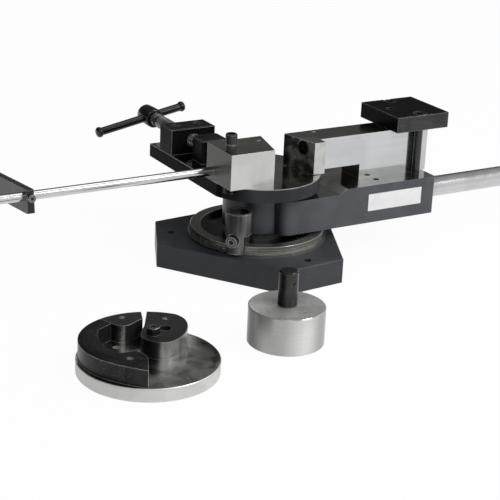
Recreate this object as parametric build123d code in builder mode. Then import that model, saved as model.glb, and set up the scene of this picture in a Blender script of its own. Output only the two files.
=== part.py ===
from build123d import *
import os
from math import cos, radians, sin, sqrt, tan

# Scroll and bar bender: a clamped base with an index ring, a fixed die table on the
# pivot column, a swinging arm with a sliding forming block, and two loose dies.
# Millimetres, +Z up. Origin: pivot axis at the level of the base's underside.
# X points along the swing arm in its rest position, Y away from the operator.

# ------------------------------------------------------------------ driving dimensions
running_gap = 0.04          # radial, turning and sliding fits
press_gap = 0.01            # radial, pieces driven together
bolt_gap = 0.25             # radial, clearance holes
lift_gap = 0.03             # radial, pins and dies that lift out
socket_depth_share = 0.55   # depth of a key socket as a share of the screw head

# base
base_reach = 122.0          # pivot to each corner of the base
base_corner_half = 18.0     # half the angle between the two corners of a lobe
base_turn = -85.3           # direction of the front lobe
base_thick = 28.0
base_hole = 9.0
base_hole_circle = 198.0

# index ring
ring_flange_radius = 80.0
ring_flange_thick = 3.0
ring_radius = 77.0
ring_inner_radius = 65.0
ring_height = 11.2
ring_floor_thick = 5.0
ring_groove = 0.6
ring_screw_circle = 112.0
ring_screw_first = 7.0
ring_screw_count = 6

# pivot column
column_radius = 22.5
column_flange_radius = 36.5
column_flange_thick = 8.0
spigot_radius = 15.0
spigot_depth = 8.0
column_screw_circle = 59.0
column_screw_count = 4
centre_bolt_size = 12.0
centre_bolt_bite = 10.0
washer_radius = 35.0
lower_washer_thick = 1.0
bush_wall = 3.5

# swing arm
boss_radius = 40.4
arm_low_top = 81.5
arm_high_top = 87.5
arm_step = 77.0             # where the ramp to the high top begins
arm_ramp = 10.0
arm_front = 55.0
arm_shoulder_left = -1.6    # left side of the arm's front part
arm_end = 211.0
arm_shoulder = 13.6         # radius of the front corner beside the boss
arm_hole = 7.5
arm_hole_at = (138.0, -37.0)

# table
table_bottom = 88.4
table_thick = 15.6
table_radius = 70.0
table_left = 67.0
table_right = 14.0
table_back = 144.0

# angle die
die_angle = 75.8
die_length = 67.0
die_width = 52.0            # pivot axis to the front face
die_back = 3.0
die_nose = 2.0              # the bending nose, just past the pivot axis
die_height = 40.5
die_pin_radius = 6.6
die_pin_at = (-59.2, -36.0)
die_pin_top = 164.5
die_pin_seat = 8.0
die_pin_line = 12.0         # turned line below the pin's top
die_pin_bore = 4.2
die_pin_bore_depth = 9.0
dowel_radius = 3.0
die_dowel_at = (-10.0, -11.0)

# back stop
rod_radius = 5.0
rod_y = -8.0
rod_z = 114.0
rod_end = -420.0
rod_bite = 35.0
bracket_x = -287.0
bracket_thick = 8.0
bracket_ahead = 11.0
bracket_behind = 88.0
bracket_above = 9.0
bracket_below = 17.0
bracket_tilt = -6.0
bracket_screw_size = 5.0

# vise
vise_x = -37.5
vise_z = 119.5
nut_block_half = 28.5
nut_block_front = 90.0
nut_block_back = 120.0
nut_block_height = 30.5
nut_screw_size = 6.0
nut_screw_sink = 6.6
nut_screw_inset = 14.0      # from the block's ends
nut_screw_y = 108.0
table_screw_bite = 11.0
vise_screw_radius = 8.0
vise_tip_radius = 6.0
jaw_left = -49.8
jaw_right = -17.2
jaw_front = 44.5
jaw_back = 72.0
jaw_height = 27.2
jaw_clear = 0.3
jaw_corner = 4.0
jaw_socket = 13.0
jaw_pin_radius = 1.5
jaw_pin_y = 64.5
groove_radius = 4.2
groove_half = 1.8
thread_end = 172.0
neck_radius = 6.0
collar_radius = 8.0
collar_width = 5.0
hub_radius = 10.0
hub_front = 189.0
hub_length = 28.0
hub_pin_radius = 1.5
hub_pin_y = 192.5
screw_end = 196.0
tee_along = 13.0            # from the hub's front to the bar
tee_radius = 3.3
tee_left = 69.5
tee_right = 42.5
tee_ball_radius = 5.6
tee_tilt = 10.8

# slide and forming block
slide_front = -28.0
slide_width = 36.0
slide_top = 142.0
slide_end = 215.0
slide_foot = 119.5
slide_notch_top = 105.6
block_back_corner = 36.5
block_front = -39.5
block_right = 63.0
block_bottom = 104.6
key_width = 12.0
key_height = 10.0
key_start = 156.0
key_length = 50.0
slide_travel = 34.0
spigot_y = -1.0
spigot_z = 123.0
block_spigot_radius = 7.0
block_spigot_length = 18.0
block_grub_x = 72.5
block_grub_size = 8.0
nose_screw_y = -22.4
nose_screw_z = 132.5
nose_screw_size = 8.0
nose_screw_seat = 54.0
nose_screw_bite = 16.0
nose_head_radius = 6.5
nose_bore_radius = 7.9

# hold-down plate
plate_left = 159.5
plate_right = 233.0
plate_front = -42.5
plate_back = 34.0
plate_thick = 18.6
plate_bolt_x = 197.0
plate_bolt_front = -33.8
plate_bolt_back = 27.0
plate_bolt_size = 10.0
plate_bolt_bite = 18.0
clamp_screw_at = (175.0, -3.4)
clamp_screw_size = 10.0
clamp_screw_length = 14.0
clamp_screw_lift = 0.3

# handle
handle_radius = 12.5
handle_wall = 2.5
handle_length = 650.0
handle_y = -6.8
handle_z = 55.7
stud_length = 76.0
stud_bite = 32.0

# angle stop
stop_direction = -137.7
stop_circle = 71.0
stop_radius = 15.0
stop_top = 77.8
stop_bridge = 39.9          # underside of the post over the ring
stop_leg_width = 20.0
stop_leg_bottom = 31.4
stop_inner_bottom = 33.4
stop_kerf = 2.4
stop_kerf_top = 56.0
stop_screw_z = 47.3
stop_screw_aside = 1.3
stop_screw_size = 8.0
stop_screw_seat = 13.2      # from the post's axis to the screw's seat
stop_screw_length = 24.0
stop_head_radius = 6.5
stop_flat_top = 52.0
stop_cup_radius = 11.6
stop_cup_depth = 8.0
stop_hole_radius = 4.5
stop_hole_depth = 18.0
rim_gap = 0.3

# scroll die
scroll_at = (-251.9, -225.2)
scroll_disc_radius = 70.0
scroll_disc_thick = 14.0
former_height = 18.2
former_radius = 68.5
slot_angle = 67.5           # the gap between the lobe and the snail
slot_half = 2.4
seam_angle = 107.5          # the joint between the crescent and the lobe
seam_gap = 0.15
toe_angle = 243.4
seam_corner = (-15.7, 50.6)
throat_high = (-33.5, 41.6)
throat_middle = (-43.8, 12.0)
throat_low = (-37.5, -15.6)
toe_crown = (-23.0, -17.6)
toe_corner = (-18.4, -36.0)
toe_dowel_at = (-34.8, -30.5)
lobe_left = (-14.9, 48.6)
lobe_low = (-8.2, 40.3)
lobe_right = (2.6, 41.6)
lobe_corner = (17.8, 49.0)
lobe_dowel_at = (0.0, 59.0)
snail_rim_angle = 41.0
snail_shoulder = (11.9, 33.2)
snail_start = (0.3, 17.4)
snail_curve = ((-1.0, -1.5), (12.0, -12.5), (31.0, -7.0), (50.0, 14.5), (54.8, 31.0))
snail_dowel_at = (37.4, 39.1)
snail_hole_at = (27.0, 18.0)
snail_hole_radius = 6.0
scroll_dowel_radius = 2.75
scroll_dowel_bite = 9.0
scroll_screw_at = (10.0, 10.5)
scroll_screw_size = 8.0
disc_hole_at = (-18.3, 32.9)
disc_hole_radius = 3.8
former_screw_size = 6.0
former_screw_bite = 10.0
crescent_screws_at = ((-57.0, 0.0), (-27.0, -48.0))
lobe_screw_at = (14.0, 56.5)
snail_screw_at = (40.0, 22.0)

# round die
round_at = (-94.7, -221.8)
round_radius = 39.5
round_height = 39.8
shank_radius = 10.0
shank_top = 77.3
shank_bite = 20.0
shank_spigot_radius = 9.0
shank_relief_radius = 9.2
shank_relief = 1.0          # height of the ground relief above the die
shank_flat_z = 66.0
shank_flat_radius = 2.6
shank_flat_depth = 1.2

# ------------------------------------------------------------------ derived levels
ring_floor = base_thick + ring_floor_thick
ring_top = base_thick + ring_height
flange_top = ring_floor + column_flange_thick
arm_bottom = flange_top + lower_washer_thick
table_top = table_bottom + table_thick
die_top = table_top + die_height
plate_top = slide_top + plate_thick
slide_back = slide_front + slide_width
slide_middle = slide_front + slide_width / 2
disc_top = scroll_disc_thick
former_top = disc_top + former_height
jaw_pin_offset = groove_radius + jaw_pin_radius + 0.1
jaw_pin_length = vise_z - table_top - jaw_clear + 2 * jaw_pin_radius
screw_tip = jaw_back - jaw_socket + 0.3
nut_screw_places = [
    (vise_x + side * (nut_block_half - nut_screw_inset), nut_screw_y) for side in (-1, 1)
]
scroll_dowel_places = (toe_dowel_at, lobe_dowel_at, snail_dowel_at)
former_screw_places = (*crescent_screws_at, lobe_screw_at, snail_screw_at)


def at_angle(radius, angle):
    """Point at a radius and an angle in degrees, in plan."""
    return (radius * cos(radians(angle)), radius * sin(radians(angle)))


def cap_screw(size, length, head_radius, head_height, key):
    """Socket cap screw with its head's seat at the origin and its shank along -Z."""
    with BuildPart() as screw:
        with BuildSketch(Plane.XZ):
            with BuildLine():
                Polyline(
                    (0, -length),
                    (size / 2 - 0.6, -length),
                    (size / 2, -length + 0.6),
                    (size / 2, 0),
                    (head_radius, 0),
                    (head_radius, head_height - 0.5),
                    (head_radius - 0.5, head_height),
                    (0, head_height),
                    close=True,
                )
            make_face()
        revolve(axis=Axis.Z)
        with BuildSketch(Plane.XY.offset(head_height)):
            RegularPolygon(key / 2, 6, major_radius=False)
        extrude(amount=-head_height * socket_depth_share, mode=Mode.SUBTRACT)
    return screw.part


def flat_screw(size, length, head_radius, key):
    """Countersunk screw with its flat head's face at the origin and its shank along -Z."""
    cone = head_radius - size / 2
    with BuildPart() as screw:
        with BuildSketch(Plane.XZ):
            with BuildLine():
                Polyline(
                    (0, -length),
                    (size / 2 - 0.5, -length),
                    (size / 2, -length + 0.5),
                    (size / 2, -cone - 0.3),
                    (head_radius, -0.3),
                    (head_radius, 0),
                    (0, 0),
                    close=True,
                )
            make_face()
        revolve(axis=Axis.Z)
        with BuildSketch(Plane.XY):
            RegularPolygon(key / 2, 6, major_radius=False)
        extrude(amount=-cone, mode=Mode.SUBTRACT)
    return screw.part


def grub_screw(size, length, key):
    """Headless socket screw with its socket face at the origin, along -Z."""
    with BuildPart() as screw:
        Cylinder(size / 2, length, align=(Align.CENTER, Align.CENTER, Align.MAX))
        chamfer(screw.edges().filter_by(GeomType.CIRCLE), 0.6)
        with BuildSketch(Plane.XY):
            RegularPolygon(key / 2, 6, major_radius=False)
        extrude(amount=-length * socket_depth_share, mode=Mode.SUBTRACT)
    return screw.part


def pin(radius, length, soften=0.4):
    """Plain pin with chamfered ends, its top face at the origin, along -Z."""
    with BuildPart() as body:
        Cylinder(radius, length, align=(Align.CENTER, Align.CENTER, Align.MAX))
        chamfer(body.edges().filter_by(GeomType.CIRCLE), soften)
    return body.part


# ------------------------------------------------------------------ base
base_corners = [
    at_angle(base_reach, base_turn + lobe + side)
    for lobe in (0, 120, 240)
    for side in (-base_corner_half, base_corner_half)
]
centre_head_radius = 9.0
centre_head_height = 12.0
centre_head_sink = 13.0

with BuildPart() as base_plate:
    with BuildSketch():
        with BuildLine():
            Polyline(*base_corners, close=True)
        make_face()
    extrude(amount=base_thick)
    fillet(base_plate.edges().filter_by(Axis.Z), radius=2.0)
    chamfer(base_plate.faces().sort_by(Axis.Z)[-1].edges(), 0.8)
    with Locations((0, 0, base_thick)):
        with PolarLocations(base_hole_circle / 2, 3, start_angle=base_turn):
            Hole(base_hole / 2)
        Hole(centre_bolt_size / 2 + bolt_gap)
    with BuildSketch(Plane.XY.offset(base_thick - spigot_depth)):
        Circle(spigot_radius + lift_gap)
    extrude(amount=spigot_depth, mode=Mode.SUBTRACT)
    with BuildSketch():
        Circle(centre_head_radius + 1.0)
    extrude(amount=centre_head_sink, mode=Mode.SUBTRACT)
    with Locations((0, 0, base_thick)):
        with PolarLocations(ring_screw_circle / 2, ring_screw_count, start_angle=ring_screw_first):
            Hole(3.0 + press_gap, depth=15.0)
        with PolarLocations(column_screw_circle / 2, column_screw_count, start_angle=45):
            Hole(3.0 + press_gap, depth=13.0)

# ------------------------------------------------------------------ index ring
ring_screw_size = 6.0
ring_screw_head = 6.0

with BuildPart() as index_ring:
    with BuildSketch(Plane.XZ):
        with BuildLine():
            Polyline(
                (spigot_radius + lift_gap, base_thick),
                (ring_flange_radius, base_thick),
                (ring_flange_radius, base_thick + ring_flange_thick),
                (ring_radius, base_thick + ring_flange_thick),
                (ring_radius, ring_top - 0.5),
                (ring_radius - 0.5, ring_top),
                (ring_inner_radius + 0.5, ring_top),
                (ring_inner_radius, ring_top - 0.5),
                (ring_inner_radius, ring_floor),
                (spigot_radius + lift_gap, ring_floor),
                close=True,
            )
        make_face()
        with Locations((ring_radius, base_thick + 5.0), (ring_radius, base_thick + 7.4)):
            Rectangle(2 * ring_groove, 0.8, mode=Mode.SUBTRACT)
    revolve(axis=Axis.Z)
    with Locations((0, 0, ring_floor)):
        with PolarLocations(ring_screw_circle / 2, ring_screw_count, start_angle=ring_screw_first):
            CounterSinkHole(ring_screw_size / 2 + bolt_gap, ring_screw_head + 2 * bolt_gap)
        with PolarLocations(column_screw_circle / 2, column_screw_count, start_angle=45):
            Hole(ring_screw_size / 2 + bolt_gap)

ring_screw = flat_screw(ring_screw_size, 18.0, ring_screw_head, 4.0)
with BuildPart() as ring_screws:
    with Locations((0, 0, ring_floor)):
        with PolarLocations(ring_screw_circle / 2, ring_screw_count, start_angle=ring_screw_first):
            add(ring_screw)

# ------------------------------------------------------------------ pivot column
column_screw_sink = 6.6

with BuildPart() as pivot_column:
    with BuildSketch(Plane.XZ):
        with BuildLine():
            Polyline(
                (centre_bolt_size / 2 + bolt_gap, base_thick - spigot_depth + 0.3),
                (spigot_radius, base_thick - spigot_depth + 0.3),
                (spigot_radius, ring_floor),
                (column_flange_radius, ring_floor),
                (column_flange_radius, flange_top - 0.6),
                (column_flange_radius - 0.6, flange_top),
                (column_radius, flange_top),
                (column_radius, table_bottom),
                (centre_bolt_size / 2 + bolt_gap, table_bottom),
                close=True,
            )
        make_face()
    revolve(axis=Axis.Z)
    with Locations((0, 0, flange_top)):
        with PolarLocations(column_screw_circle / 2, column_screw_count, start_angle=45):
            CounterBoreHole(3.0 + bolt_gap, 5.0 + bolt_gap, column_screw_sink, depth=12.0)
    with Locations((0, 0, table_bottom)):
        with PolarLocations(spigot_radius, 2, start_angle=90):
            Hole(dowel_radius + press_gap, depth=9.0)

column_screw = cap_screw(6.0, 18.0, 5.0, 6.0, 5.0)
with BuildPart() as column_screws:
    with Locations((0, 0, flange_top - column_screw_sink)):
        with PolarLocations(column_screw_circle / 2, column_screw_count, start_angle=45):
            add(column_screw)

centre_screw = cap_screw(
    centre_bolt_size,
    table_bottom + centre_bolt_bite - centre_head_sink,
    centre_head_radius,
    centre_head_height,
    10.0,
)
with BuildPart() as centre_bolt:
    with Locations(Location((0, 0, centre_head_sink), (180, 0, 0))):
        add(centre_screw)

with BuildPart() as lower_washer:
    with BuildSketch(Plane.XY.offset(flange_top)):
        Circle(column_flange_radius - 0.6)
        Circle(column_radius + running_gap, mode=Mode.SUBTRACT)
    extrude(amount=arm_bottom - flange_top)

with BuildPart() as thrust_washer:
    with BuildSketch(Plane.XY.offset(arm_low_top)):
        Circle(washer_radius)
        Circle(column_radius + running_gap, mode=Mode.SUBTRACT)
    extrude(amount=table_bottom - arm_low_top)
    chamfer(thrust_washer.edges().group_by(Axis.Z)[-1], 0.5)

with BuildPart() as pivot_bush:
    with BuildSketch(Plane.XY.offset(arm_bottom)):
        Circle(column_radius + bush_wall)
        Circle(column_radius + running_gap, mode=Mode.SUBTRACT)
    extrude(amount=arm_low_top - arm_bottom)

# ------------------------------------------------------------------ swing arm
stud_radius = handle_radius - handle_wall - press_gap
key_slot_start = key_start - slide_travel - 1.0
key_slot_length = key_length + slide_travel + 2.0
key_sunk = key_height / 2

with BuildPart() as swing_arm:
    with BuildSketch(Plane.XY.offset(arm_bottom)) as arm_outline:
        Circle(boss_radius)
        with BuildLine():
            Polyline(
                (arm_shoulder_left, 0),
                (arm_shoulder_left, -arm_front),
                (arm_end, -arm_front),
                (arm_end, boss_radius),
                (0, boss_radius),
                close=True,
            )
        make_face()
        fillet(arm_outline.vertices().sort_by_distance((arm_shoulder_left, -arm_front))[0], arm_shoulder)
        fillet(arm_outline.vertices().sort_by_distance((arm_end, -arm_front))[0], 2.0)
        fillet(arm_outline.vertices().sort_by_distance((arm_end, boss_radius))[0], 2.0)
    extrude(amount=arm_high_top - arm_bottom)
    with BuildSketch(Plane.XZ):
        with BuildLine():
            Polyline(
                (-2 * boss_radius, arm_low_top),
                (arm_step, arm_low_top),
                (arm_step + arm_ramp, arm_high_top),
                (arm_step + arm_ramp, arm_high_top + 1),
                (-2 * boss_radius, arm_high_top + 1),
                close=True,
            )
        make_face()
    extrude(amount=2 * boss_radius, both=True, mode=Mode.SUBTRACT)
    with BuildSketch(Plane.XY.offset(arm_bottom)):
        Circle(column_radius + bush_wall + press_gap)
    extrude(amount=arm_low_top - arm_bottom, mode=Mode.SUBTRACT)
    with Locations((*arm_hole_at, arm_high_top)):
        Hole(arm_hole / 2, depth=16.0)
    with Locations(
        (plate_bolt_x, plate_bolt_front, arm_high_top),
        (plate_bolt_x, plate_bolt_back, arm_high_top),
    ):
        Hole(plate_bolt_size / 2 + press_gap, depth=plate_bolt_bite + 1.0)
    with BuildSketch(Plane.XY.offset(arm_high_top)):
        with Locations((key_slot_start + key_slot_length / 2, slide_middle)):
            Rectangle(key_slot_length, key_width + 2 * running_gap)
    extrude(amount=-key_sunk - running_gap, mode=Mode.SUBTRACT)
    with BuildSketch(Plane.YZ.offset(arm_end)):
        with Locations((handle_y, handle_z)):
            Circle(stud_radius + press_gap)
    extrude(amount=-stud_bite - 1.0, mode=Mode.SUBTRACT)

with BuildPart() as handle_stud:
    with BuildSketch(Plane.YZ.offset(arm_end - stud_bite)):
        with Locations((handle_y, handle_z)):
            Circle(stud_radius)
    extrude(amount=stud_length)
    chamfer(handle_stud.edges().filter_by(GeomType.CIRCLE), 1.0)

with BuildPart() as handle_tube:
    with BuildSketch(Plane.YZ.offset(arm_end)):
        with Locations((handle_y, handle_z)):
            Circle(handle_radius)
            Circle(handle_radius - handle_wall, mode=Mode.SUBTRACT)
    extrude(amount=handle_length)
    chamfer(handle_tube.edges().filter_by(GeomType.CIRCLE).group_by(Axis.X)[-1], 0.6)

# ------------------------------------------------------------------ table
table_neck_fillet = 10.0

with BuildPart() as table_plate:
    with BuildSketch(Plane.XY.offset(table_bottom)) as table_outline:
        Circle(table_radius)
        with BuildLine():
            Polyline(
                (-table_left, 0),
                (table_right, 0),
                (table_right, table_back),
                (-table_left, table_back),
                close=True,
            )
        make_face()
        with Locations((-table_left - table_radius / 2, 0)):
            Rectangle(table_radius, 2 * table_radius, mode=Mode.SUBTRACT)
        neck = (table_right, sqrt(table_radius**2 - table_right**2))
        fillet(table_outline.vertices().sort_by_distance(neck)[0], table_neck_fillet)
    extrude(amount=table_thick)
    chamfer(table_plate.faces().sort_by(Axis.Z)[-1].edges(), 0.5)
    with BuildSketch(Plane.XY.offset(table_bottom)):
        Circle(centre_bolt_size / 2 + press_gap)
        with PolarLocations(spigot_radius, 2, start_angle=90):
            Circle(dowel_radius + press_gap)
    extrude(amount=centre_bolt_bite + 0.5, mode=Mode.SUBTRACT)
    with BuildSketch(Plane.XY.offset(table_top)):
        with Locations(die_pin_at):
            Circle(die_pin_radius + lift_gap)
    extrude(amount=-die_pin_seat, mode=Mode.SUBTRACT)
    with BuildSketch(Plane.XY.offset(table_top)):
        with Locations(die_dowel_at):
            Circle(dowel_radius + press_gap)
        with Locations(*nut_screw_places):
            Circle(nut_screw_size / 2 + press_gap)
    extrude(amount=-table_screw_bite, mode=Mode.SUBTRACT)

table_dowel = pin(dowel_radius, 18.0)
with BuildPart() as table_dowels:
    with Locations((0, 0, table_bottom + 9.5)):
        with PolarLocations(spigot_radius, 2, start_angle=90):
            add(table_dowel)

# ------------------------------------------------------------------ angle die, its pin and dowel
nose_run = (die_width + die_back) / tan(radians(die_angle))

with BuildPart() as angle_die:
    with BuildSketch(Plane.XY.offset(table_top)) as die_outline:
        with BuildLine():
            Polyline(
                (die_nose, die_back),
                (-die_length, die_back),
                (-die_length, -die_width),
                (die_nose - nose_run, -die_width),
                close=True,
            )
        make_face()
        fillet(die_outline.vertices().sort_by_distance((die_nose, die_back))[0], 0.8)
    extrude(amount=die_height)
    chamfer(angle_die.faces().sort_by(Axis.Z)[-1].edges(), 0.4)
    with BuildSketch(Plane.XY.offset(table_top)):
        with Locations(die_pin_at):
            Circle(die_pin_radius + lift_gap)
        with Locations(die_dowel_at):
            Circle(dowel_radius + press_gap)
    extrude(amount=die_height, mode=Mode.SUBTRACT)
    with BuildSketch(Plane.YZ.offset(-die_length)):
        with Locations((rod_y, rod_z)):
            Circle(rod_radius + press_gap)
    extrude(amount=rod_bite, mode=Mode.SUBTRACT)

die_dowel_pin = pin(dowel_radius, die_height + table_screw_bite - 0.4)
with BuildPart() as die_dowel:
    with Locations((*die_dowel_at, die_top + 0.3)):
        add(die_dowel_pin)

die_pin_length = die_pin_top - table_top + die_pin_seat - 0.2
with BuildPart() as die_pin:
    with BuildSketch(Plane(origin=(*die_pin_at, die_pin_top), x_dir=(1, 0, 0), z_dir=(0, -1, 0))):
        with BuildLine():
            Polyline(
                (0, -die_pin_length),
                (die_pin_radius - 0.8, -die_pin_length),
                (die_pin_radius, -die_pin_length + 0.8),
                (die_pin_radius, -1.0),
                (die_pin_radius - 1.0, 0),
                (die_pin_bore, 0),
                (die_pin_bore, -die_pin_bore_depth),
                (0, -die_pin_bore_depth - 1.5),
                close=True,
            )
        make_face()
        with Locations((die_pin_radius, -die_pin_line)):
            Rectangle(0.8, 0.8, mode=Mode.SUBTRACT)
    revolve(axis=Axis((*die_pin_at, 0), (0, 0, 1)))

# ------------------------------------------------------------------ back stop
with BuildPart() as stop_rod:
    with BuildSketch(Plane.YZ.offset(rod_end)):
        with Locations((rod_y, rod_z)):
            Circle(rod_radius)
    extrude(amount=-rod_end - die_length + rod_bite - 0.5)
    chamfer(stop_rod.edges().filter_by(GeomType.CIRCLE), 0.8)

bracket_plane = Plane(
    origin=(bracket_x - bracket_thick / 2, rod_y, rod_z),
    x_dir=(0, cos(radians(bracket_tilt)), sin(radians(bracket_tilt))),
    z_dir=(1, 0, 0),
)
bracket_face = Plane(
    origin=bracket_plane.from_local_coords((-bracket_ahead, 0, bracket_thick / 2)),
    x_dir=(1, 0, 0),
    z_dir=-bracket_plane.x_dir,
)
with BuildPart() as stop_bracket:
    with BuildSketch(bracket_plane):
        with Locations((
            (bracket_behind - bracket_ahead) / 2,
            (bracket_above - bracket_below) / 2,
        )):
            RectangleRounded(
                bracket_behind + bracket_ahead,
                bracket_above + bracket_below,
                2.0,
            )
        Circle(rod_radius + running_gap, mode=Mode.SUBTRACT)
    extrude(amount=bracket_thick)
    with BuildSketch(bracket_face):
        Circle(bracket_screw_size / 2 + running_gap)
    extrude(amount=-bracket_ahead + rod_radius, mode=Mode.SUBTRACT)

bracket_cap_screw = cap_screw(bracket_screw_size, bracket_ahead - rod_radius - 0.3, 4.25, 5.0, 4.0)
with BuildPart() as bracket_screw:
    with Locations(bracket_face.location):
        add(bracket_cap_screw)

# ------------------------------------------------------------------ vise
vise_axis = Plane(origin=(vise_x, 0, vise_z), x_dir=(1, 0, 0), z_dir=(0, 1, 0))

with BuildPart() as vise_nut_block:
    with BuildSketch(Plane.XY.offset(table_top)):
        with Locations((vise_x, (nut_block_front + nut_block_back) / 2)):
            Rectangle(2 * nut_block_half, nut_block_back - nut_block_front)
    extrude(amount=nut_block_height)
    chamfer(vise_nut_block.faces().sort_by(Axis.Z)[-1].edges(), 0.8)
    with BuildSketch(vise_axis.offset(nut_block_front)):
        Circle(vise_screw_radius + running_gap)
    extrude(amount=nut_block_back - nut_block_front, mode=Mode.SUBTRACT)
    with Locations(*[(x, y, table_top + nut_block_height) for x, y in nut_screw_places]):
        CounterBoreHole(nut_screw_size / 2 + bolt_gap, 5.0 + bolt_gap, nut_screw_sink)

nut_screw = cap_screw(
    nut_screw_size,
    nut_block_height - nut_screw_sink + table_screw_bite - 1.0,
    5.0,
    6.0,
    5.0,
)
with BuildPart() as nut_block_screws:
    with Locations(*[(x, y, table_top + nut_block_height - nut_screw_sink) for x, y in nut_screw_places]):
        add(nut_screw)

with BuildPart() as vise_jaw:
    with BuildSketch(Plane.XY.offset(table_top + jaw_clear)):
        with Locations(((jaw_left + jaw_right) / 2, (jaw_front + jaw_back) / 2)):
            RectangleRounded(jaw_right - jaw_left, jaw_back - jaw_front, jaw_corner)
    extrude(amount=jaw_height)
    chamfer(vise_jaw.faces().sort_by(Axis.Z)[-1].edges(), 0.8)
    with BuildSketch(vise_axis.offset(jaw_back)):
        Circle(vise_tip_radius + running_gap)
    extrude(amount=-jaw_socket, mode=Mode.SUBTRACT)
    with BuildSketch(Plane.XY.offset(table_top + jaw_clear)):
        with Locations((vise_x + jaw_pin_offset, jaw_pin_y)):
            Circle(jaw_pin_radius + press_gap)
    extrude(amount=jaw_pin_length, mode=Mode.SUBTRACT)

jaw_pin_body = pin(jaw_pin_radius, jaw_pin_length - 0.4, soften=0.2)
with BuildPart() as jaw_pin:
    with Locations((vise_x + jaw_pin_offset, jaw_pin_y, table_top + jaw_clear + jaw_pin_length - 0.2)):
        add(jaw_pin_body)

screw_section = Plane(origin=(vise_x, 0, vise_z), x_dir=(0, 1, 0), z_dir=(1, 0, 0))
with BuildPart() as vise_screw:
    with BuildSketch(screw_section):
        with BuildLine():
            Polyline(
                (screw_tip, 0),
                (screw_tip, vise_tip_radius - 0.6),
                (screw_tip + 0.6, vise_tip_radius),
                (jaw_pin_y - groove_half, vise_tip_radius),
                (jaw_pin_y - groove_half, groove_radius),
                (jaw_pin_y + groove_half, groove_radius),
                (jaw_pin_y + groove_half, vise_tip_radius),
                (jaw_back + 0.3, vise_tip_radius),
                (jaw_back + 0.3, vise_screw_radius - 1.0),
                (jaw_back + 1.3, vise_screw_radius),
                (thread_end, vise_screw_radius),
                (thread_end, neck_radius),
                (hub_front - collar_width, neck_radius),
                (hub_front - collar_width, collar_radius),
                (hub_front, collar_radius),
                (hub_front, neck_radius),
                (screw_end, neck_radius),
                (screw_end, 0),
                close=True,
            )
        make_face()
    revolve(axis=Axis((vise_x, 0, vise_z), (0, 1, 0)))
    with BuildSketch(Plane.XY.offset(vise_z - hub_radius)):
        with Locations((vise_x, hub_pin_y)):
            Circle(hub_pin_radius + press_gap)
    extrude(amount=2 * hub_radius, mode=Mode.SUBTRACT)

tee_y = hub_front + tee_along
tee_plane = Plane(
    origin=(vise_x, tee_y, vise_z),
    x_dir=(0, 1, 0),
    z_dir=(cos(radians(tee_tilt)), 0, sin(radians(tee_tilt))),
)
with BuildPart() as screw_hub:
    with BuildSketch(vise_axis.offset(hub_front)):
        Circle(hub_radius)
    extrude(amount=hub_length)
    fillet(screw_hub.edges().filter_by(GeomType.CIRCLE), 1.5)
    with BuildSketch(vise_axis.offset(hub_front)):
        Circle(neck_radius + press_gap)
    extrude(amount=screw_end - hub_front + 0.3, mode=Mode.SUBTRACT)
    with BuildSketch(tee_plane.offset(-hub_radius)):
        Circle(tee_radius + running_gap)
    extrude(amount=2 * hub_radius, mode=Mode.SUBTRACT)
    with BuildSketch(Plane.XY.offset(vise_z - hub_radius)):
        with Locations((vise_x, hub_pin_y)):
            Circle(hub_pin_radius + press_gap)
    extrude(amount=2 * hub_radius, mode=Mode.SUBTRACT)

hub_pin_body = pin(hub_pin_radius, 2 * hub_radius - 1.2, soften=0.3)
with BuildPart() as hub_pin:
    with Locations((vise_x, hub_pin_y, vise_z + hub_radius - 0.6)):
        add(hub_pin_body)

with BuildPart() as tee_bar:
    with BuildSketch(tee_plane.offset(-tee_left - 1.0)):
        Circle(tee_radius)
    extrude(amount=tee_left + tee_right + 2.0)

with BuildPart() as tee_balls:
    with Locations(tee_plane.offset(-tee_left), tee_plane.offset(tee_right)):
        Sphere(tee_ball_radius)
    with BuildSketch(tee_plane.offset(-tee_left - 1.2)):
        Circle(tee_radius + press_gap)
    extrude(amount=tee_left + tee_right + 2.4, mode=Mode.SUBTRACT)

# ------------------------------------------------------------------ slide and forming block
nose_slope = tan(radians(90 - die_angle))
block_front_corner = block_back_corner + (slide_back - block_front) * nose_slope
web_end_plane = Plane.YZ.offset(block_right)

with BuildPart() as slide_carriage:
    with BuildSketch(Plane.XZ.offset(-slide_front)):
        with BuildLine():
            Polyline(
                (block_right, slide_top),
                (slide_end, slide_top),
                (slide_end, arm_high_top),
                (slide_foot, arm_high_top),
                (slide_foot, slide_notch_top),
                (block_right, slide_notch_top),
                close=True,
            )
        make_face()
    extrude(amount=-slide_width)
    with BuildSketch(web_end_plane):
        with Locations((spigot_y, spigot_z)):
            Circle(block_spigot_radius + press_gap)
    extrude(amount=block_spigot_length + 0.5, mode=Mode.SUBTRACT)
    with BuildSketch(web_end_plane):
        with Locations((nose_screw_y, nose_screw_z)):
            Circle(nose_screw_size / 2 + press_gap)
    extrude(amount=nose_screw_bite + 1.0, mode=Mode.SUBTRACT)
    with BuildSketch(Plane.XY.offset(slide_top)):
        with Locations((block_grub_x, spigot_y)):
            Circle(block_grub_size / 2 + press_gap)
    extrude(amount=-(slide_top - spigot_z), mode=Mode.SUBTRACT)
    with BuildSketch(Plane.XY.offset(arm_high_top)):
        with Locations((key_start + key_length / 2, slide_middle)):
            Rectangle(key_length + 2 * press_gap, key_width + 2 * press_gap)
    extrude(amount=key_height - key_sunk, mode=Mode.SUBTRACT)

with BuildPart() as slide_key:
    with BuildSketch(Plane.XY.offset(arm_high_top - key_sunk)):
        with Locations((key_start + key_length / 2, slide_middle)):
            RectangleRounded(key_length, key_width, 0.4)
    extrude(amount=key_height - 0.1)

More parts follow.
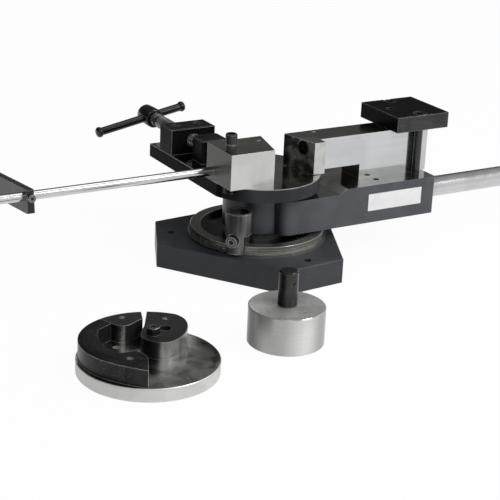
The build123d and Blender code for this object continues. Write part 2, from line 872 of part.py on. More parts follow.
with BuildPart() as forming_block:
    with BuildSketch(Plane.XY.offset(block_bottom)):
        with BuildLine():
            Polyline(
                (block_back_corner, slide_back),
                (block_front_corner, block_front),
                (block_right, block_front),
                (block_right, slide_back),
                close=True,
            )
        make_face()
    extrude(amount=slide_top - block_bottom)
    chamfer(forming_block.faces().sort_by(Axis.Z)[-1].edges(), 0.4)
    with BuildSketch(web_end_plane):
        with Locations((spigot_y, spigot_z)):
            Circle(block_spigot_radius)
    extrude(amount=block_spigot_length)
    with BuildSketch(web_end_plane):
        with Locations((nose_screw_y, nose_screw_z)):
            Circle(nose_screw_size / 2 + bolt_gap)
    extrude(amount=-(block_right - block_back_corner), mode=Mode.SUBTRACT)
    with BuildSketch(Plane.YZ.offset(nose_screw_seat)):
        with Locations((nose_screw_y, nose_screw_z)):
            Circle(nose_bore_radius)
    extrude(amount=-(nose_screw_seat - block_back_corner), mode=Mode.SUBTRACT)

nose_cap_screw = cap_screw(
    nose_screw_size,
    block_right - nose_screw_seat + nose_screw_bite,
    nose_head_radius,
    nose_screw_size,
    6.0,
)
with BuildPart() as forming_block_screw:
    with Locations(Location((nose_screw_seat, nose_screw_y, nose_screw_z), (0, -90, 0))):
        add(nose_cap_screw)

block_grub = grub_screw(block_grub_size, slide_top - spigot_z - block_spigot_radius - 0.6, 4.0)
with BuildPart() as block_grub_screw:
    with Locations((block_grub_x, spigot_y, slide_top - 0.5)):
        add(block_grub)

# ------------------------------------------------------------------ hold-down plate
plate_bolt_head_radius = 8.0
plate_bolt_head_height = 10.0
plate_bolt_sink = 10.6
plate_bolt_places = ((plate_bolt_x, plate_bolt_front), (plate_bolt_x, plate_bolt_back))

with BuildPart() as hold_down_plate:
    with BuildSketch(Plane.XY.offset(slide_top)):
        with Locations(((plate_left + plate_right) / 2, (plate_front + plate_back) / 2)):
            Rectangle(plate_right - plate_left, plate_back - plate_front)
    extrude(amount=plate_thick)
    chamfer(hold_down_plate.edges(), 0.6)
    with Locations(*[(x, y, plate_top) for x, y in plate_bolt_places]):
        CounterBoreHole(
            plate_bolt_size / 2 + bolt_gap,
            plate_bolt_head_radius + bolt_gap,
            plate_bolt_sink,
        )
    with Locations((*clamp_screw_at, plate_top)):
        Hole(clamp_screw_size / 2 + running_gap)

plate_bolt = cap_screw(
    plate_bolt_size,
    plate_thick - plate_bolt_sink + slide_top - arm_high_top + plate_bolt_bite,
    plate_bolt_head_radius,
    plate_bolt_head_height,
    8.0,
)
with BuildPart() as plate_bolts:
    with Locations(*[(x, y, plate_top - plate_bolt_sink) for x, y in plate_bolt_places]):
        add(plate_bolt)

clamp_grub = grub_screw(clamp_screw_size, clamp_screw_length, 5.0)
with BuildPart() as slide_clamp_screw:
    with Locations((*clamp_screw_at, slide_top + clamp_screw_lift + clamp_screw_length)):
        add(clamp_grub)

# ------------------------------------------------------------------ angle stop
stop_plane = Plane(
    origin=(0, 0, 0),
    x_dir=(cos(radians(stop_direction)), sin(radians(stop_direction)), 0),
    z_dir=(0, 0, 1),
)
stop_screw_plane = Plane(
    origin=stop_plane.from_local_coords((stop_circle + stop_screw_seat, -stop_screw_aside, stop_screw_z)),
    x_dir=(0, 0, 1),
    z_dir=stop_plane.x_dir,
)
rim_outside = ring_radius + rim_gap
rim_inside = ring_inner_radius - rim_gap

with BuildPart() as angle_stop_post:
    with BuildSketch(stop_plane.offset(stop_leg_bottom)):
        with Locations((stop_circle, 0)):
            Circle(stop_radius)
    extrude(amount=stop_top - stop_leg_bottom)
    chamfer(angle_stop_post.faces().sort_by(Axis.Z)[-1].edges(), 0.8)
    # flats beside the legs, so that the foot is narrower than the post
    with BuildSketch(stop_plane.offset(stop_leg_bottom)):
        for side in (-1, 1):
            with Locations((stop_circle, side * stop_radius)):
                Rectangle(2 * stop_radius, 2 * (stop_radius - stop_leg_width / 2))
    extrude(amount=stop_flat_top - stop_leg_bottom, mode=Mode.SUBTRACT)
    # slot over the ring's rim, then the saw cut that lets the two legs close on it
    with BuildSketch(stop_plane.offset(stop_leg_bottom)):
        Circle(rim_outside)
        Circle(rim_inside, mode=Mode.SUBTRACT)
    extrude(amount=stop_bridge - stop_leg_bottom, mode=Mode.SUBTRACT)
    with BuildSketch(stop_plane.offset(stop_leg_bottom)):
        Circle(rim_inside)
    extrude(amount=stop_inner_bottom - stop_leg_bottom, mode=Mode.SUBTRACT)
    with BuildSketch(stop_plane.offset(stop_bridge)):
        with Locations((stop_circle, 0)):
            Rectangle(stop_kerf, 2 * stop_radius)
    extrude(amount=stop_kerf_top - stop_bridge, mode=Mode.SUBTRACT)
    # seat and bore of the clamp screw
    with BuildSketch(stop_screw_plane):
        Circle(stop_head_radius + 1.0)
    extrude(amount=stop_radius, mode=Mode.SUBTRACT)
    with BuildSketch(stop_screw_plane):
        Circle(stop_screw_size / 2 + running_gap)
    extrude(amount=-stop_screw_length - 0.5, mode=Mode.SUBTRACT)
    with BuildSketch(stop_plane.offset(stop_top)):
        with Locations((stop_circle, 0)):
            Circle(stop_cup_radius)
    extrude(amount=-stop_cup_depth, mode=Mode.SUBTRACT)
    with BuildSketch(stop_plane.offset(stop_top)):
        with Locations((stop_circle, 0)):
            Circle(stop_hole_radius)
    extrude(amount=-stop_hole_depth, mode=Mode.SUBTRACT)

stop_cap_screw = cap_screw(stop_screw_size, stop_screw_length, stop_head_radius, stop_screw_size, 6.0)
with BuildPart() as stop_clamp_screw:
    with Locations(stop_screw_plane.location):
        add(stop_cap_screw)

# ------------------------------------------------------------------ scroll die
scroll_plane = Plane(origin=(*scroll_at, 0), x_dir=(1, 0, 0), z_dir=(0, 0, 1))

with BuildPart() as scroll_disc:
    with BuildSketch(scroll_plane):
        Circle(scroll_disc_radius)
    extrude(amount=scroll_disc_thick)
    chamfer(scroll_disc.edges().filter_by(GeomType.CIRCLE), 0.6)
    with BuildSketch(scroll_plane.offset(scroll_disc_thick)):
        with Locations(*scroll_dowel_places):
            Circle(scroll_dowel_radius + press_gap)
        with Locations(scroll_screw_at):
            Circle(scroll_screw_size / 2 + press_gap)
        with Locations(disc_hole_at):
            Circle(disc_hole_radius)
    extrude(amount=-scroll_dowel_bite, mode=Mode.SUBTRACT)
    with Locations(scroll_plane.location):
        with Locations(Location((0, 0, 0), (180, 0, 0))):
            with Locations(*[(x, -y) for x, y in former_screw_places]):
                CounterSinkHole(former_screw_size / 2 + bolt_gap, former_screw_size + 2 * bolt_gap)

with BuildPart() as crescent_former:
    with BuildSketch(scroll_plane.offset(disc_top)):
        with BuildLine():
            CenterArc((0, 0), former_radius, seam_angle, toe_angle - seam_angle)
            Line(at_angle(former_radius, toe_angle), toe_corner)
            Spline(toe_corner, toe_crown, throat_low, tangents=[(0.1, 1), (-1, 0.1)])
            ThreePointArc(throat_low, throat_middle, throat_high)
            Line(throat_high, seam_corner)
            Line(seam_corner, at_angle(former_radius, seam_angle))
        make_face()
    extrude(amount=former_height)
    chamfer(crescent_former.faces().sort_by(Axis.Z)[-1].edges(), 0.3)
    with BuildSketch(scroll_plane.offset(disc_top)):
        with Locations(toe_dowel_at):
            Circle(scroll_dowel_radius + press_gap)
    extrude(amount=former_height, mode=Mode.SUBTRACT)
    with BuildSketch(scroll_plane.offset(disc_top)):
        with Locations(*crescent_screws_at):
            Circle(former_screw_size / 2 + press_gap)
    extrude(amount=former_screw_bite, mode=Mode.SUBTRACT)

with BuildPart() as lobe_former:
    with BuildSketch(scroll_plane.offset(disc_top)):
        with BuildLine():
            CenterArc(
                (0, 0),
                former_radius,
                slot_angle + slot_half,
                seam_angle - seam_gap - slot_angle - slot_half,
            )
            Line(at_angle(former_radius, seam_angle - seam_gap), lobe_left)
            ThreePointArc(lobe_left, lobe_low, lobe_right)
            Line(lobe_right, lobe_corner)
            Line(lobe_corner, at_angle(former_radius, slot_angle + slot_half))
        make_face()
    extrude(amount=former_height)
    chamfer(lobe_former.faces().sort_by(Axis.Z)[-1].edges(), 0.3)
    with BuildSketch(scroll_plane.offset(disc_top)):
        with Locations(lobe_dowel_at):
            Circle(scroll_dowel_radius + press_gap)
    extrude(amount=former_height, mode=Mode.SUBTRACT)
    with BuildSketch(scroll_plane.offset(disc_top)):
        with Locations(lobe_screw_at):
            Circle(former_screw_size / 2 + press_gap)
    extrude(amount=former_screw_bite, mode=Mode.SUBTRACT)

with BuildPart() as snail_former:
    with BuildSketch(scroll_plane.offset(disc_top)):
        with BuildLine():
            CenterArc((0, 0), former_radius, snail_rim_angle, slot_angle - slot_half - snail_rim_angle)
            Line(at_angle(former_radius, slot_angle - slot_half), snail_shoulder)
            Line(snail_shoulder, snail_start)
            Spline(snail_start, *snail_curve, at_angle(former_radius, snail_rim_angle))
        make_face()
    extrude(amount=former_height)
    with BuildSketch(scroll_plane.offset(disc_top)):
        with Locations(snail_dowel_at):
            Circle(scroll_dowel_radius + press_gap)
        with Locations(scroll_screw_at):
            Circle(scroll_screw_size / 2 + bolt_gap)
        with Locations(snail_hole_at):
            Circle(snail_hole_radius)
    extrude(amount=former_height, mode=Mode.SUBTRACT)
    with BuildSketch(scroll_plane.offset(disc_top)):
        with Locations(snail_screw_at):
            Circle(former_screw_size / 2 + press_gap)
    extrude(amount=former_screw_bite, mode=Mode.SUBTRACT)

scroll_dowel = pin(scroll_dowel_radius, former_height + scroll_dowel_bite - 0.5, soften=0.3)
with BuildPart() as scroll_dowels:
    with Locations(scroll_plane.offset(former_top - 0.2)):
        with Locations(*scroll_dowel_places):
            add(scroll_dowel)

scroll_cap_screw = cap_screw(
    scroll_screw_size,
    former_height + scroll_dowel_bite - 1.0,
    6.5,
    scroll_screw_size,
    6.0,
)
with BuildPart() as scroll_screw:
    with Locations(scroll_plane.offset(former_top)):
        with Locations(scroll_screw_at):
            add(scroll_cap_screw)

former_flat_screw = flat_screw(
    former_screw_size,
    scroll_disc_thick + former_screw_bite - 1.0,
    former_screw_size,
    4.0,
)
with BuildPart() as former_screws:
    with Locations(Location((*scroll_at, 0.0), (180, 0, 0))):
        with Locations(*[(x, -y) for x, y in former_screw_places]):
            add(former_flat_screw)

# ------------------------------------------------------------------ round die
with BuildPart() as round_die:
    with BuildSketch():
        with Locations(round_at):
            Circle(round_radius)
    extrude(amount=round_height)
    chamfer(round_die.edges().filter_by(GeomType.CIRCLE), 0.8)
    with BuildSketch(Plane.XY.offset(round_height)):
        with Locations(round_at):
            Circle(shank_spigot_radius + press_gap)
    extrude(amount=-shank_bite - 0.5, mode=Mode.SUBTRACT)

with BuildPart() as round_die_shank:
    with BuildSketch(Plane.XY.offset(round_height - shank_bite)):
        with Locations(round_at):
            Circle(shank_spigot_radius)
    extrude(amount=shank_bite)
    with BuildSketch(Plane.XY.offset(round_height)):
        with Locations(round_at):
            Circle(shank_relief_radius)
    extrude(amount=shank_relief)
    with BuildSketch(Plane.XY.offset(round_height + shank_relief)):
        with Locations(round_at):
            Circle(shank_radius)
    extrude(amount=shank_top - round_height - shank_relief)
    chamfer(round_die_shank.faces().sort_by(Axis.Z)[-1].edges(), 1.5)
    with BuildSketch(Plane.XZ.offset(-round_at[1] + shank_radius - shank_flat_depth)):
        with Locations((round_at[0], shank_flat_z)):
            Circle(shank_flat_radius)
    extrude(amount=2 * shank_flat_depth, mode=Mode.SUBTRACT)

# ------------------------------------------------------------------ write the parts
nodes = {
    "base_plate": base_plate,
    "index_ring": index_ring,
    "ring_screws": ring_screws,
    "pivot_column": pivot_column,
    "column_screws": column_screws,
    "centre_bolt": centre_bolt,
    "lower_washer": lower_washer,
    "thrust_washer": thrust_washer,
    "pivot_bush": pivot_bush,
    "swing_arm": swing_arm,
    "handle_stud": handle_stud,
    "handle_tube": handle_tube,
    "table_plate": table_plate,
    "table_dowels": table_dowels,
    "angle_die": angle_die,
    "die_dowel": die_dowel,
    "die_pin": die_pin,
    "stop_rod": stop_rod,
    "stop_bracket": stop_bracket,
    "bracket_screw": bracket_screw,
    "vise_nut_block": vise_nut_block,
    "nut_block_screws": nut_block_screws,
    "vise_jaw": vise_jaw,
    "jaw_pin": jaw_pin,
    "vise_screw": vise_screw,
    "screw_hub": screw_hub,
    "hub_pin": hub_pin,
    "tee_bar": tee_bar,
    "tee_balls": tee_balls,
    "slide_carriage": slide_carriage,
    "slide_key": slide_key,
    "forming_block": forming_block,
    "forming_block_screw": forming_block_screw,
    "block_grub_screw": block_grub_screw,
    "hold_down_plate": hold_down_plate,
    "plate_bolts": plate_bolts,
    "slide_clamp_screw": slide_clamp_screw,
    "angle_stop_post": angle_stop_post,
    "stop_clamp_screw": stop_clamp_screw,
    "scroll_disc": scroll_disc,
    "crescent_former": crescent_former,
    "lobe_former": lobe_former,
    "snail_former": snail_former,
    "scroll_dowels": scroll_dowels,
    "scroll_screw": scroll_screw,
    "former_screws": former_screws,
    "round_die": round_die,
    "round_die_shank": round_die_shank,
}
os.makedirs("parts", exist_ok=True)
for name, node in nodes.items():
    node.part.label = name
    export_step(node.part, f"parts/{name}.step")
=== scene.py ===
from math import atan2, cos, degrees, hypot, pi, radians, sin

import bmesh
import bpy
from mathutils import Matrix, Vector


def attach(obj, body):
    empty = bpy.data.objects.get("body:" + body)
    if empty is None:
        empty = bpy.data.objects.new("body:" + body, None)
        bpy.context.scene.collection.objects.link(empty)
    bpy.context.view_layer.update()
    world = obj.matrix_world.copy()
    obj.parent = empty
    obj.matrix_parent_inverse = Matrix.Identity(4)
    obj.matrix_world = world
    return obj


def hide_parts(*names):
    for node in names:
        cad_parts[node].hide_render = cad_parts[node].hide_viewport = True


# Metres throughout. Origin: pivot axis at floor level, X along the arm, Z up.
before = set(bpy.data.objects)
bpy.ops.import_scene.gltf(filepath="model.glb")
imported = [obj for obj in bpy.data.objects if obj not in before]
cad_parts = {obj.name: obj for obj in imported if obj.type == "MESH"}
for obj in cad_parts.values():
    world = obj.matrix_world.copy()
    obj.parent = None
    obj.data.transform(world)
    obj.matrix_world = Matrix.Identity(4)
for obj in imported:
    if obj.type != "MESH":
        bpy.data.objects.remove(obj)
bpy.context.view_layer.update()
print("frame loaded:", len(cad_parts), "nodes")


def addObject(name, data):
    made = bpy.data.objects.new(name, data)
    bpy.context.scene.collection.objects.link(made)
    return made


# angles in degrees, lens and sensor in millimetres
cameraSet = dict(
    place=(-0.8454, -1.3860, 0.6184), yaw=31.159, pitch=20.643, roll=2.607,
    lens=107.21, sensor=36.0, clipStart=0.05,
)


def makeCamera(look):
    data = bpy.data.cameras.new("camera")
    data.lens = look["lens"]
    data.sensor_width = look["sensor"]
    data.clip_start = look["clipStart"]
    camera = addObject("camera", data)
    turn = Matrix.Rotation(radians(-look["yaw"]), 4, "Z")
    tip = Matrix.Rotation(radians(90.0 - look["pitch"]), 4, "X")
    lean = Matrix.Rotation(radians(look["roll"]), 4, "Z")
    camera.matrix_world = Matrix.Translation(look["place"]) @ turn @ tip @ lean
    bpy.context.scene.camera = camera


makeCamera(cameraSet)


def addNode(tree, kind, inputs=None, **settings):
    # each input is linked to a socket, or else set to a value
    made = tree.nodes.new(kind)
    for key, value in settings.items():
        setattr(made, key, value)
    for key, value in (inputs or {}).items():
        if isinstance(value, bpy.types.NodeSocket):
            tree.links.new(value, made.inputs[key])
        else:
            made.inputs[key].default_value = value
    return made


def doMath(tree, operation, first, second):
    return addNode(tree, "ShaderNodeMath", {0: first, 1: second}, operation=operation).outputs[0]


def doVector(tree, operation, first, second=(0, 0, 0)):
    return addNode(tree, "ShaderNodeVectorMath", {0: first, 1: second}, operation=operation)


def spread(tree, value, low, high, toLow=0.0, toHigh=1.0, smooth=False):
    made = addNode(
        tree, "ShaderNodeMapRange",
        {"Value": value, "From Min": low, "From Max": high, "To Min": toLow, "To Max": toHigh},
        interpolation_type="SMOOTHSTEP" if smooth else "LINEAR",
    )
    return made.outputs[0]


def mixColour(tree, amount, first, second, kind="MIX"):
    made = addNode(tree, "ShaderNodeMix", {0: amount}, data_type="RGBA", blend_type=kind)
    for index, value in ((6, first), (7, second)):  # the node's two colour sockets
        if isinstance(value, bpy.types.NodeSocket):
            tree.links.new(value, made.inputs[index])
        else:
            made.inputs[index].default_value = (*value, 1.0)
    return made.outputs[2]


def objectPlace(tree):
    return addNode(tree, "ShaderNodeTexCoord").outputs["Object"]


def heightOf(tree):
    return addNode(tree, "ShaderNodeSeparateXYZ", {0: objectPlace(tree)}).outputs["Z"]


def noise(tree, place, scale, detail, distortion=0.0):
    values = {"Vector": place, "Scale": scale, "Detail": detail, "Distortion": distortion}
    return addNode(tree, "ShaderNodeTexNoise", values).outputs[0]


def noiseAlong(tree, run, detail):
    made = addNode(tree, "ShaderNodeTexNoise", {"W": run, "Detail": detail}, noise_dimensions="1D")
    return made.outputs[0]


def newGroup(name, inputs, outputs):
    tree = bpy.data.node_groups.new(name, "ShaderNodeTree")
    for title, kind, value in inputs:
        socket = tree.interface.new_socket(name=title, in_out="INPUT", socket_type=kind)
        socket.default_value = value
    for title, kind in outputs:
        tree.interface.new_socket(name=title, in_out="OUTPUT", socket_type=kind)
    return tree, tree.nodes.new("NodeGroupInput"), tree.nodes.new("NodeGroupOutput")


def useGroup(tree, group, **inputs):
    return addNode(tree, "ShaderNodeGroup", inputs, node_tree=group)


number, vector = "NodeSocketFloat", "NodeSocketVector"


def makeFacing():
    # how far a face looks along a direction, on the piece's own axes; it places most of the painted light
    # and shade
    tree, inside, outside = newGroup(
        "facing",
        [("Direction", vector, (0, 0, 1)), ("Start", number, 0.6), ("End", number, 0.9)],
        [("Mask", number)],
    )
    place = addNode(tree, "ShaderNodeTexCoord")
    along = doVector(tree, "DOT_PRODUCT", place.outputs["Normal"], inside.outputs["Direction"])
    start, end = inside.outputs["Start"], inside.outputs["End"]
    tree.links.new(spread(tree, along.outputs["Value"], start, end, smooth=True), outside.inputs["Mask"])
    return tree


# smoothFrom and fullEdgeAt: how well the rounded normal agrees with the true one; the edge mask gives rubbed
# wear and, on some pieces, a painted edge highlight
edgeWearAndGlintSet = dict(
    samples=4, smoothFrom=0.985, fullEdgeAt=0.86,
    patchScale=95.0, patchDetail=4.0, patchFrom=0.35, patchTo=0.6,
)


def makeEdgeWearAndGlint(look):
    # rubbed edges and painted edge highlights: the rounded normal leaves the true one only near an edge
    tree, inside, outside = newGroup(
        "edgeWearAndGlint", [("Width", number, 0.0008), ("Breakup", number, 0.5)], [("Mask", number)]
    )
    rounded = addNode(tree, "ShaderNodeBevel", {"Radius": inside.outputs["Width"]}, samples=look["samples"])
    unrounded = addNode(tree, "ShaderNodeNewGeometry")
    match = doVector(tree, "DOT_PRODUCT", rounded.outputs[0], unrounded.outputs["Normal"])
    edge = spread(tree, match.outputs["Value"], look["smoothFrom"], look["fullEdgeAt"])
    patch = noise(tree, objectPlace(tree), look["patchScale"], look["patchDetail"])
    broken = spread(tree, patch, look["patchFrom"], look["patchTo"])
    kept = doMath(tree, "SUBTRACT", 1.0, doMath(tree, "MULTIPLY", inside.outputs["Breakup"], broken))
    tree.links.new(doMath(tree, "MULTIPLY", edge, kept), outside.inputs["Mask"])
    return tree


# grinding lines and lathe marks: broadShare and broadPitch set the wider bands under the fine ones
toolMarks = dict(
    fineDetail=3.0, fineFrom=0.25, fineTo=0.75, broadDetail=2.0, broadFrom=0.3, broadTo=0.7,
    broadShare=0.12, broadPitch=170.0,
)


def putOutMarks(tree, look, outside, fineName, fine, broad):
    fineLines = spread(tree, fine, look["fineFrom"], look["fineTo"])
    broadBands = spread(tree, broad, look["broadFrom"], look["broadTo"])
    tree.links.new(fineLines, outside.inputs[fineName])
    tree.links.new(broadBands, outside.inputs["Broad"])


def makeGroundLines(look):
    # fine straight grinding lines: noise drawn out along one of the piece's axes
    tree, inside, outside = newGroup(
        "groundLines", [("Stretch", vector, (12, 900, 900))], [("Lines", number), ("Broad", number)]
    )
    pulled = doVector(tree, "MULTIPLY", objectPlace(tree), inside.outputs["Stretch"]).outputs[0]
    fine = noise(tree, pulled, 1.0, look["fineDetail"])
    slow = addNode(tree, "ShaderNodeVectorMath", {0: pulled, "Scale": look["broadShare"]}, operation="SCALE")
    broad = noise(tree, slow.outputs[0], 1.0, look["broadDetail"])
    putOutMarks(tree, look, outside, "Lines", fine, broad)
    return tree


def makeTurnedMarks(look):
    # lathe marks: rings round an upright axis on flat faces, bands of height on the sides
    tree, inside, outside = newGroup(
        "turnedMarks",
        [("Centre", vector, (0, 0, 0)), ("Pitch", number, 900.0)],
        [("Marks", number), ("Broad", number)],
    )
    moved = doVector(tree, "SUBTRACT", objectPlace(tree), inside.outputs["Centre"]).outputs[0]
    level = doVector(tree, "MULTIPLY", moved, (1, 1, 0))
    radius = doVector(tree, "LENGTH", level.outputs[0])
    height = addNode(tree, "ShaderNodeSeparateXYZ", {0: moved})
    run = doMath(tree, "ADD", radius.outputs["Value"], height.outputs["Z"])
    fine = noiseAlong(tree, doMath(tree, "MULTIPLY", run, inside.outputs["Pitch"]), look["fineDetail"])
    broad = noiseAlong(tree, doMath(tree, "MULTIPLY", run, look["broadPitch"]), look["broadDetail"])
    putOutMarks(tree, look, outside, "Marks", fine, broad)
    return tree


touch = dict(
    patchDetail=5.0, patchSwirl=0.6, patchFrom=0.36, patchTo=0.66,
    speckScale=520.0, speckFrom=0.60, speckTo=0.72, gritScale=1600.0, fineDetail=2.0,
)


def makeHandling(look):
    # oil, fingerprints and dust: soft patches and small specks
    tree, inside, outside = newGroup(
        "handling", [("Scale", number, 30.0)], [("Patches", number), ("Specks", number), ("Grit", number)]
    )
    place = objectPlace(tree)
    patch = noise(tree, place, inside.outputs["Scale"], look["patchDetail"], look["patchSwirl"])
    speck = noise(tree, place, look["speckScale"], look["fineDetail"])
    grit = noise(tree, place, look["gritScale"], look["fineDetail"])
    patches = spread(tree, patch, look["patchFrom"], look["patchTo"], smooth=True)
    specks = spread(tree, speck, look["speckFrom"], look["speckTo"])
    tree.links.new(patches, outside.inputs["Patches"])
    tree.links.new(specks, outside.inputs["Specks"])
    tree.links.new(grit, outside.inputs["Grit"])
    return tree


facing = makeFacing()
edgeWearAndGlint = makeEdgeWearAndGlint(edgeWearAndGlintSet)
groundLines = makeGroundLines(toolMarks)
turnedMarks = makeTurnedMarks(toolMarks)
handling = makeHandling(touch)
print("shared effects made")
